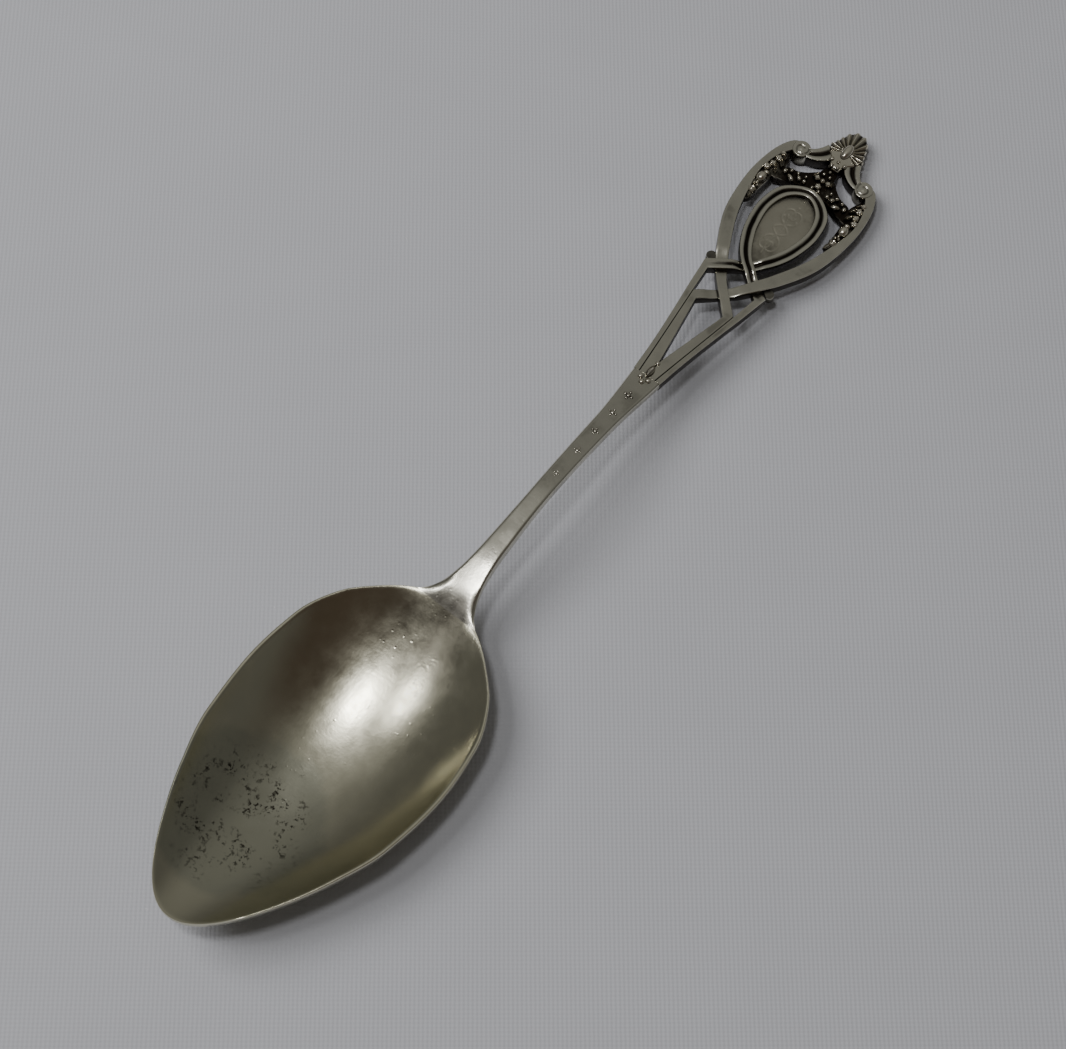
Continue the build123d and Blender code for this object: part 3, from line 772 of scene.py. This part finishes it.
def volute_shape(side):
    """Round scroll end with a spiral channel and a raised rim."""
    shape = Shape()
    cx, cy = head(45.0, 5.4, side)
    size, rim_round = 1.4, 0.16
    rings, around = 26, 72
    rows = []
    for ring in range(rings + 1):
        r = size * ring / rings
        rows.append([])
        for k in range(around):
            angle = 2 * pi * k / around
            spiral = 0.42 + 0.62 * ((angle * side / (2 * pi) + 0.15) % 1.0)
            channel = exp(-(((r - spiral) / 0.11) ** 2)) if r > 0.3 else 0.0
            rise = 0.14 - 0.09 * channel + 0.08 * exp(-((r / 0.3) ** 2))
            rise -= 0.25 * (max(r - size + rim_round, 0.0) / rim_round) ** 2
            x, y = cx + r * cos(angle), cy + r * sin(angle)
            # Spiral channel darker, tarnish and painted shade; the underside darker still
            rows[-1].append((x, y, face_z(cx) + rise, 0.75 - 0.4 * channel))
    rows.append([(x, y, under_z(cx) + 0.15, 0.1) for x, y, _, _ in rows[-1]])
    _, last = shape.sheet(rows, closed=True)
    shape.cap(last)
    return shape


def crest_shape(side):
    """Moulding of two ridges that sweeps from the volute to the shell."""
    shape = Shape()
    pairs = [
        (44.2, 5.2, 45.7, 5.4), (44.3, 4.2, 45.85, 4.8), (44.5, 3.25, 46.1, 4.25), (44.95, 2.4, 46.6, 3.75),
        (45.5, 1.7, 47.3, 3.3), (46.3, 1.1, 48.3, 2.85),
    ]
    ribbon(shape, pairs, [], (TWO_RIDGES, TWO_RIDGES), side, lambda u, v: 0.05)
    return shape


# ---- shell

BOSS_U = 48.7


def shell_reach(angle, outline):
    """Distance from the boss's centre to the shell's outline in a direction."""
    dx, dy = cos(angle), sin(angle)
    best = 0.0
    for (ax, ay), (bx, by) in zip(outline, outline[1:] + outline[:1]):
        ex, ey = bx - ax, by - ay
        det = ex * dy - ey * dx
        if abs(det) < 1e-12:
            continue
        share = (dx * ay - dy * ax) / det
        distance = (ex * ay - ey * ax) / det
        if -1e-9 <= share <= 1 + 1e-9 and distance > 0:
            best = max(best, distance)
    return best


FLUTES = 13
FLUTED_ANGLE, PLAIN_ANGLE = radians(115), radians(122)


def shell_shape():
    """Fluted fan about the boss."""
    shape = Shape()
    rim = [(46.2, 1.05), (48.4, 2.8), (49.9, 2.35), (51.4, 1.85), (52.5, 1.15), (53.0, 0)]
    half = [(45.2, 0.02), (45.2, 0.9)] + [tuple(point) for point in curve_through(rim, 0.3)]
    outline = half + [(u, -v) for u, v in reversed(half[:-1])]
    centre = head(BOSS_U, 0)
    local = [(x - centre[0], y - centre[1]) for x, y in (head(u, v) for u, v in outline)]
    around, rings = 260, 18
    rows = [[] for ring in range(rings + 3)]
    for k in range(around):
        angle = 2 * pi * k / around
        off_axis = min(angle, 2 * pi - angle)
        fluted = smooth_step((PLAIN_ANGLE - off_axis) / radians(8))
        wave = fluted * cos(off_axis / FLUTED_ANGLE * pi * (FLUTES - 1) / 2) ** 2
        reach = shell_reach(angle, local) * (1 - 0.045 * wave)
        for ring in range(rings + 1):
            t = ring / rings
            r = mix(0.55, reach, t)
            x, y = centre[0] + r * cos(angle), r * sin(angle)
            groove = wave * smooth_step((t - 0.05) / 0.3)
            swell = 0.1 - 0.3 * groove - 0.3 * smooth_step((t - 0.88) / 0.12) ** 2
            # Flute grooves darker: tarnish and painted shade; the outline's wall and underside dark too
            rows[ring].append((x, y, face_z(x) + swell, 0.9 - 0.85 * groove))
        x, y = centre[0] + reach * cos(angle), reach * sin(angle)
        rows[rings + 1].append((x, y, face_z(x) - 0.7, 0.2))
        rows[rings + 2].append((x, y, under_z(x), 0.2))
    shape.tube(rows)
    return shape


def shell_oval_shape():
    shape = Shape()
    shape.dome(seat(BOSS_U, 0, drop=-0.02), 1.5, 0.76, 0.74)
    return shape


def shell_pearls_shape():
    shape = Shape()
    beads = ((45.5, 0.5, 0.4), (45.6, -0.45, 0.36), (46.4, 1.1, 0.42), (46.4, -1.1, 0.42), (46.5, 0, 0.34))
    for u, v, size in beads:
        shape.dome(seat(u, v, drop=0.0), size, size * 0.85, 0.42, wear_and_shading=0.95)
    return shape


# ---- finishes


class Nodes:
    """Short calls for the nodes of one material, whose pattern lies in the object's own space."""

    def __init__(self, name):
        self.material = bpy.data.materials.new(name)
        self.material.use_nodes = True
        self.tree = self.material.node_tree
        self.shader = self.tree.nodes["Principled BSDF"]
        self.coord = self.tree.nodes.new("ShaderNodeTexCoord").outputs["Object"]

    def add(self, kind, **values):
        """Node of a kind, its sockets set to a number, a vector or another node's output."""
        node = self.tree.nodes.new("ShaderNode" + kind)
        for key, value in values.items():
            self.fill(node.inputs[key.replace("_", " ")], value)
        return node

    def fill(self, socket, value):
        if isinstance(value, bpy.types.NodeSocket):
            self.tree.links.new(value, socket)
        else:
            socket.default_value = value

    def noise(self, scale, detail, rough=0.55, stretch=(1.0, 1.0, 1.0)):
        place = self.add("Mapping", Vector=self.coord, Scale=stretch).outputs["Vector"]
        node = self.add("TexNoise", Vector=place, Scale=scale, Detail=detail, Roughness=rough)
        return node.outputs["Fac"]

    def remap(self, value, low, high, out_low, out_high):
        limits = {"From_Min": low, "From_Max": high, "To_Min": out_low, "To_Max": out_high}
        return self.add("MapRange", Value=value, **limits).outputs["Result"]

    def combine(self, operation, a, b):
        node = self.add("Math")
        node.operation = operation
        self.fill(node.inputs[0], a)
        self.fill(node.inputs[1], b)
        return node.outputs["Value"]

    def colours(self, value, stops):
        """Colour from a value by stops (value, colour) in rising order."""
        node = self.add("ValToRGB", Fac=value)
        elements = node.color_ramp.elements
        for element, (position, colour) in zip((elements[0], elements[-1]), (stops[0], stops[-1])):
            element.position = position
            element.color = (*colour, 1)
        for position, colour in stops[1:-1]:
            elements.new(position).color = (*colour, 1)
        return node.outputs["Color"]

    def bump(self, height, strength, distance):
        node = self.add("Bump", Height=height, Strength=strength, Distance=distance)
        self.fill(self.shader.inputs["Normal"], node.outputs["Normal"])


STAIN_CENTRE, STAIN_REACH = (-0.0585, 0.004, 0.003), 0.0125


def stained(silver, colour):
    """Dull film and dark specks near the bowl's tip, laid over a colour."""
    gap = silver.tree.nodes.new("ShaderNodeVectorMath")
    gap.operation = "DISTANCE"
    silver.fill(gap.inputs[0], silver.coord)
    gap.inputs[1].default_value = STAIN_CENTRE
    ragged = silver.combine("MULTIPLY", silver.noise(260, 4), 0.004)
    edge = silver.combine("ADD", gap.outputs["Value"], ragged)
    film = silver.remap(edge, STAIN_REACH, STAIN_REACH + 0.0015, 0.6, 0.0)
    specks = silver.remap(silver.noise(1700, 3, 0.7), 0.53, 0.6, 0.0, 1.0)
    groups = silver.remap(silver.noise(330, 3, 0.6), 0.47, 0.6, 0.0, 1.0)
    inside = silver.remap(edge, STAIN_REACH * 0.7, STAIN_REACH * 1.05, 1.0, 0.0)
    dots = silver.combine("MULTIPLY", silver.combine("MULTIPLY", specks, groups), inside)
    for amount, tint in ((film, (0.72, 0.76, 0.8)), (dots, (0.12, 0.11, 0.1))):
        blend = silver.tree.nodes.new("ShaderNodeMix")
        blend.data_type = "RGBA"
        blend.blend_type = "MULTIPLY"
        silver.fill(blend.inputs["Factor"], amount)
        silver.fill(blend.inputs["A"], colour)
        silver.fill(blend.inputs["B"], (*tint, 1))
        colour = blend.outputs["Result"]
    return colour


def worn_and_shaded_silver(name, colour, roughness, blotch, grain, pits=0.0, stain=False):
    """Old silver: worn bright with a painted highlight where the colour value is high, tarnished and
    darkened with painted shade in recesses, lightly scratched.
    """
    silver = Nodes(name)
    silver.shader.inputs["Metallic"].default_value = 1.0
    tarnish_and_shade = tuple(bpy.context.scene.spoon_finish.tarnish_and_shade)
    # The mesh's colour value: tarnish and painted shade where low, wear and painted highlight where high
    attribute = silver.add("Attribute")
    attribute.attribute_name = "wear_and_shading"
    wear_and_shading = attribute.outputs["Fac"]
    patches = silver.remap(silver.noise(160, 4, 0.6), 0.35, 0.68, -blotch, blotch)
    # Colour ramp from tarnish with painted shade at low values to worn silver with a painted highlight at
    # high values; noise patches shift it at random
    tone = silver.colours(silver.combine("ADD", wear_and_shading, patches), (
        (0.08, tarnish_and_shade),
        (0.32, [mix(dark, light, 0.4) for dark, light in zip(tarnish_and_shade, colour)]),
        (0.5, [light * 0.92 for light in colour]),
        (0.95, [min(light * 1.16, 1) for light in colour]),
    ))
    silver.fill(silver.shader.inputs["Base Color"], stained(silver, tone) if stain else tone)

    rough = silver.remap(silver.noise(420, 5, 0.6), 0.3, 0.7, roughness * 0.8, roughness * 1.25)
    recess = silver.remap(wear_and_shading, 0.0, 0.6, 0.22, 0.0)
    silver.fill(silver.shader.inputs["Roughness"], silver.combine("ADD", rough, recess))

    scratches = silver.combine("MULTIPLY", silver.noise(900, 3, 0.6, stretch=(0.12, 1.0, 1.0)), 0.5)
    crossed = silver.combine("MULTIPLY", silver.noise(1300, 3, 0.6, stretch=(1.0, 0.1, 1.0)), 0.35)
    dull = silver.combine("MULTIPLY", silver.noise(2600, 2, 0.5), 0.4)
    surface = silver.combine("ADD", silver.combine("ADD", scratches, crossed), dull)
    if pits:
        cells = silver.add("TexVoronoi", Vector=silver.coord, Scale=1100.0).outputs["Distance"]
        spots = silver.remap(cells, 0.05, 0.2, 1.0, 0.0)
        where = silver.remap(silver.noise(130, 3, 0.6), 0.5, 0.62, 0.0, 1.0)
        holes = silver.combine("MULTIPLY", silver.combine("MULTIPLY", spots, where), pits)
        surface = silver.combine("SUBTRACT", surface, holes)
    silver.bump(surface, grain, 0.00004)
    return silver.material


def finish(slot):
    """Material of a record slot, made when it is first needed."""
    # Each material's colour carries wear and tarnish together with painted shade in recesses and painted
    # highlights on edges
    name = "worn_" + slot
    if name in bpy.data.materials:
        return bpy.data.materials[name]
    look = bpy.context.scene.spoon_finish
    handle = tuple(look.handle), look.handle_roughness
    if slot == "bowl_silver":
        return worn_and_shaded_silver(name, tuple(look.bowl), look.bowl_roughness, 0.06, 0.3, 1.2, stain=True)
    if slot == "stem_silver":
        return worn_and_shaded_silver(name, *handle, 0.14, 0.35, 0.5)
    if slot == "strap_silver":
        return worn_and_shaded_silver(name, *handle, 0.2, 0.4, 0.5)
    if slot == "plate_silver":
        return worn_and_shaded_silver(name, tuple(look.plate), look.plate_roughness, 0.2, 0.5, 0.6)
    # Ornaments take the lighter ornament colour, a painted highlight on beads, leaves and shell
    return worn_and_shaded_silver(name, tuple(look.ornament), look.handle_roughness, 0.22, 0.4)


# ---- stage

CAMERA_PLACE = (-0.0985056, -0.0604545, 0.2722653)
CAMERA_RIGHT = (0.61535, -0.78724, 0.03997)
CAMERA_UP = (0.71910, 0.58141, 0.38061)
CAMERA_BACK = (-0.32287, -0.20547, 0.92387)
THREAD_PITCH = 0.00055
THREAD_ANGLE = 0.9
LAMP_DISTANCE = 0.8
# Lamps: name, direction from the spoon, size and share of the power
LAMPS = (
    ("lamp_near", (-0.17, 0.1, 0.97), (0.09, 0.09), 0.25),
    ("lamp_far", (-0.26, 0.36, 0.9), (0.09, 0.06), 0.08),
    ("window", (-0.25, 0.62, 0.74), (0.5, 0.4), 0.67),
)
# Patches of the room seen in the silver: direction, cosine where it starts, where it is full, tone
ROOM = (
    ((0.55, 0.2, 0.81), 0.6, 0.97, (0.22, 0.22, 0.21)),
    ((0.0, 0.22, 0.97), 0.88, 0.99, (0.34, 0.34, 0.33)),
    ((-0.5, 0.12, 0.86), 0.87, 0.975, (0.02, 0.014, 0.012)),
    ((-0.3, -0.6, 0.74), 0.75, 0.97, (0.07, 0.055, 0.045)),
)


def cloth_material():
    """Matt woven cloth, its two sets of threads at right angles."""
    cloth = Nodes("pale_cloth")
    cloth.shader.inputs["Roughness"].default_value = 0.9
    cloth.shader.inputs["Specular IOR Level"].default_value = 0.1
    base = tuple(bpy.context.scene.spoon_stage.cloth)
    tone = cloth.add("TexNoise", Vector=cloth.coord, Scale=60.0, Detail=4.0).outputs["Fac"]
    colour = cloth.colours(tone, ((0.3, [light * 0.97 for light in base]), (0.7, base)))
    cloth.fill(cloth.shader.inputs["Base Color"], colour)
    place = cloth.add("Mapping", Vector=cloth.coord, Rotation=(0, 0, THREAD_ANGLE)).outputs["Vector"]
    threads = []
    for direction in ("X", "Y"):
        wave = cloth.add("TexWave", Vector=place, Scale=pi / (10 * THREAD_PITCH), Distortion=0.6)
        wave.bands_direction = direction
        threads.append(wave.outputs["Fac"])
    cloth.bump(cloth.combine("ADD", *threads), 0.3, 0.0001)
    return cloth.material


def soft_light(name, aim, size, power):
    """Flat lamp that shines on the spoon. The silver doesn't reflect the window."""
    data = bpy.data.lights.new(name, "AREA")
    data.shape = "RECTANGLE"
    data.size, data.size_y = size
    data.energy = power
    data.color = (0.98, 0.98, 1.0)
    light = bpy.data.objects.new(name, data)
    light.location = Vector(aim).normalized() * LAMP_DISTANCE
    light.rotation_euler = (-light.location).to_track_quat("-Z", "Y").to_euler()
    light.visible_glossy = name != "window"
    bpy.context.scene.collection.objects.link(light)


def studio_world(settings):
    """Dim room light with a bright ceiling patch and dark patches, placed by direction."""
    world = bpy.data.worlds.new("studio")
    world.use_nodes = True
    nodes, links = world.node_tree.nodes, world.node_tree.links
    sky = nodes["Background"]
    sky.inputs["Strength"].default_value = settings.sky_strength
    direction = nodes.new("ShaderNodeTexCoord").outputs["Generated"]
    colour = None
    for aim, start, full, tone in ROOM:
        dot = nodes.new("ShaderNodeVectorMath")
        dot.operation = "DOT_PRODUCT"
        links.new(direction, dot.inputs[0])
        dot.inputs[1].default_value = Vector(aim).normalized()
        amount = nodes.new("ShaderNodeMapRange")
        amount.interpolation_type = "SMOOTHSTEP"
        links.new(dot.outputs["Value"], amount.inputs["Value"])
        amount.inputs["From Min"].default_value = start
        amount.inputs["From Max"].default_value = full
        blend = nodes.new("ShaderNodeMix")
        blend.data_type = "RGBA"
        links.new(amount.outputs["Result"], blend.inputs["Factor"])
        if colour is None:
            blend.inputs["A"].default_value = (*settings.room, 1)
        else:
            links.new(colour, blend.inputs["A"])
        blend.inputs["B"].default_value = (*tone, 1)
        colour = blend.outputs["Result"]
    links.new(colour, sky.inputs["Color"])
    return world


def lay_cloth(side):
    """Flat square cloth under the spoon."""
    work = bmesh.new()
    bmesh.ops.create_grid(work, x_segments=40, y_segments=40, size=side / 2)
    mesh = bpy.data.meshes.new("cloth")
    work.to_mesh(mesh)
    work.free()
    mesh.materials.append(cloth_material())
    cloth = bpy.data.objects.new("cloth", mesh)
    bpy.context.scene.collection.objects.link(cloth)


def place_camera(lens):
    data = bpy.data.cameras.new("view")
    data.sensor_width = 36.0
    data.lens = lens
    data.clip_start = 0.01
    camera = bpy.data.objects.new("view", data)
    columns = (CAMERA_RIGHT, CAMERA_UP, CAMERA_BACK)
    turn = Matrix([[column[row] for column in columns] for row in range(3)])
    camera.matrix_world = Matrix.Translation(CAMERA_PLACE) @ turn.to_4x4()
    bpy.context.scene.collection.objects.link(camera)
    bpy.context.scene.camera = camera


# ---- settings


def colour_setting(name, description, default):
    return FloatVectorProperty(
        name=name, description=description, default=default, subtype="COLOR", size=3, min=0, max=1)


def blur_setting(name, default):
    return FloatProperty(
        name=name, description="Blur of its reflections", default=default, subtype="FACTOR", min=0, max=1)


class SpoonFinish(bpy.types.PropertyGroup):
    """Colours and gloss of the silver."""
    bowl: colour_setting("Bowl", "Reflected colour of the bowl", (0.60, 0.575, 0.44))
    handle: colour_setting("Handle", "Reflected colour of the stem and the straps", (0.60, 0.58, 0.49))
    plate: colour_setting("Medallion", "Reflected colour of the medallion's plate", (0.50, 0.475, 0.385))
    # Lighter than the handle's silver: a painted highlight on beads, leaves and shell
    ornament: colour_setting("Ornament", "Reflected colour of beads, leaves and shell", (0.68, 0.64, 0.53))
    # Darkest colour of the ramp: tarnish together with painted shade in recesses
    tarnish_and_shade: colour_setting("Tarnish", "Colour of the dark film in recesses", (0.03, 0.024, 0.018))
    bowl_roughness: blur_setting("Bowl roughness", 0.2)
    handle_roughness: blur_setting("Handle roughness", 0.21)
    plate_roughness: blur_setting("Medallion roughness", 0.36)


class SpoonStage(bpy.types.PropertyGroup):
    """Cloth, light and camera."""
    cloth: colour_setting("Cloth", "Colour of the cloth", (0.56, 0.565, 0.59))
    room: colour_setting("Room", "Colour of the light from all round", (0.115, 0.115, 0.11))
    cloth_size: FloatProperty(
        name="Cloth size", description="Side of the square cloth", default=1.4, unit="LENGTH")
    sky_strength: FloatProperty(
        name="Sky strength", description="Brightness of the light from all round", default=1.0, min=0)
    lamp_power: FloatProperty(
        name="Lamp power", description="Power of all lamps together", default=4.9, min=0)
    lens: FloatProperty(
        name="Lens", description="Focal length of the camera in millimetres", default=74.3, min=1)


# ---- operators


def build_hands(slot, *kinds):
    """Left and right pieces of kinds given as a shape's function, a piece's name and a node's name."""
    for side, hand in HANDS:
        for shape, piece, node in kinds:
            shape(side).build(f"{piece}_{hand}", slot, f"{node}_{hand}")


class SPOON_OT_bowl(bpy.types.Operator):
    """Deep egg-shaped bowl with a rounded rim"""
    bl_idname = "spoon.bowl"
    bl_label = "Bowl"

    def execute(self, context):
        bowl_shape().build("bowl_dish", "bowl_silver", "bowl", sharp=50)
        return {"FINISHED"}


class SPOON_OT_stem(bpy.types.Operator):
    """Arched stem that widens into the bowl and the fork"""
    bl_idname = "spoon.stem"
    bl_label = "Neck and Stem"

    def execute(self, context):
        stem_shape().build("arched_stem", "stem_silver", "neck", "stem", sharp=50)
        return {"FINISHED"}


class SPOON_OT_stem_pearls(bpy.types.Operator):
    """Pearl crosses and a leaf along the stem"""
    bl_idname = "spoon.stem_pearls"
    bl_label = "Stem Pearls"

    def execute(self, context):
        stem_pearls_shape().build("stem_pearls", "ornament_silver", "stem_ornaments")
        return {"FINISHED"}


class SPOON_OT_wide_bands(bpy.types.Operator):
    """Wide flat straps that cross above the fork and run to the volutes"""
    bl_idname = "spoon.wide_bands"
    bl_label = "Wide Bands"

    def execute(self, context):
        build_hands("strap_silver", (wide_band_shape, "wide_band", "wide_strap"))
        return {"FINISHED"}


class SPOON_OT_narrow_bands(bpy.types.Operator):
    """Narrow ridged straps that loop round the medallion"""
    bl_idname = "spoon.narrow_bands"
    bl_label = "Narrow Bands"

    def execute(self, context):
        build_hands("strap_silver", (narrow_band_shape, "narrow_band", "narrow_strap"))
        return {"FINISHED"}


class SPOON_OT_tip_curls(bpy.types.Operator):
    """Small strap ends outside the crossings"""
    bl_idname = "spoon.tip_curls"
    bl_label = "Strap Ends"

    def execute(self, context):
        build_hands("strap_silver", (tip_curl_shape, "tip_curl", "strap_tip"))
        return {"FINISHED"}


class SPOON_OT_medallion(bpy.types.Operator):
    """Recessed plate with engraved scrollwork"""
    bl_idname = "spoon.medallion"
    bl_label = "Medallion"

    def execute(self, context):
        medallion_shape().build("medallion_field", "plate_silver", "medallion_plate")
        return {"FINISHED"}


class SPOON_OT_side_ornament(bpy.types.Operator):
    """Husks, leaf sprays and swags on both sides of the medallion"""
    bl_idname = "spoon.side_ornament"
    bl_label = "Husks, Sprays and Swags"

    def execute(self, context):
        build_hands(
            "ornament_silver",
            (husk_shape, "husk", "husk_drop"),
            (spray_shape, "spray", "leaf_spray"),
            (swag_shape, "swag", "garland"),
        )
        return {"FINISHED"}


class SPOON_OT_palmette(bpy.types.Operator):
    """Florets on the middle line"""
    bl_idname = "spoon.palmette"
    bl_label = "Palmette"

    def execute(self, context):
        palmette_shape().build("palmette_florets", "ornament_silver", "palmette")
        return {"FINISHED"}


class SPOON_OT_volutes(bpy.types.Operator):
    """Round scroll ends of the wide straps"""
    bl_idname = "spoon.volutes"
    bl_label = "Volutes"

    def execute(self, context):
        build_hands("strap_silver", (volute_shape, "volute", "scroll"))
        return {"FINISHED"}


class SPOON_OT_crests(bpy.types.Operator):
    """Ridged mouldings between the volutes and the shell"""
    bl_idname = "spoon.crests"
    bl_label = "Crest Mouldings"

    def execute(self, context):
        build_hands("strap_silver", (crest_shape, "crest", "crest_moulding"))
        return {"FINISHED"}


class SPOON_OT_shell(bpy.types.Operator):
    """Fluted shell with its oval boss and pearls"""
    bl_idname = "spoon.shell"
    bl_label = "Shell"

    def execute(self, context):
        shell_shape().build("shell_fan", "ornament_silver", "shell")
        shell_oval_shape().build("shell_oval", "ornament_silver", "shell_boss")
        shell_pearls_shape().build("shell_pearls", "ornament_silver", "shell_beads")
        return {"FINISHED"}


class SPOON_OT_stage(bpy.types.Operator):
    """Pale cloth, soft light and the camera"""
    bl_idname = "spoon.stage"
    bl_label = "Stage"

    def execute(self, context):
        settings = context.scene.spoon_stage
        lay_cloth(settings.cloth_size)
        context.scene.world = studio_world(settings)
        for name, aim, size, share in LAMPS:
            soft_light(name, aim, size, settings.lamp_power * share)
        place_camera(settings.lens)
        return {"FINISHED"}


BUILDERS = (
    SPOON_OT_stage, SPOON_OT_bowl, SPOON_OT_stem, SPOON_OT_stem_pearls, SPOON_OT_wide_bands,
    SPOON_OT_narrow_bands, SPOON_OT_tip_curls, SPOON_OT_medallion, SPOON_OT_side_ornament,
    SPOON_OT_palmette, SPOON_OT_volutes, SPOON_OT_crests, SPOON_OT_shell,
)


class SPOON_PT_panel(bpy.types.Panel):
    """Settings and pieces of the spoon"""
    bl_idname = "SPOON_PT_panel"
    bl_label = "Souvenir Spoon"
    bl_space_type = "VIEW_3D"
    bl_region_type = "UI"
    bl_category = "Spoon"

    def draw(self, context):
        layout = self.layout
        for settings in (context.scene.spoon_finish, context.scene.spoon_stage):
            for name in settings.bl_rna.properties.keys():
                if name not in {"rna_type", "name"}:
                    layout.prop(settings, name)
        for builder in BUILDERS:
            layout.operator(builder.bl_idname)


CLASSES = (SpoonFinish, SpoonStage, *BUILDERS, SPOON_PT_panel)


def register():
    for cls in CLASSES:
        bpy.utils.register_class(cls)
    bpy.types.Scene.spoon_finish = PointerProperty(type=SpoonFinish)
    bpy.types.Scene.spoon_stage = PointerProperty(type=SpoonStage)


def unregister():
    del bpy.types.Scene.spoon_stage
    del bpy.types.Scene.spoon_finish
    for cls in reversed(CLASSES):
        bpy.utils.unregister_class(cls)


def main():
    register()
    for builder in BUILDERS:
        group, name = builder.bl_idname.split(".")
        getattr(getattr(bpy.ops, group), name)()


if __name__ == "__main__":
    main()
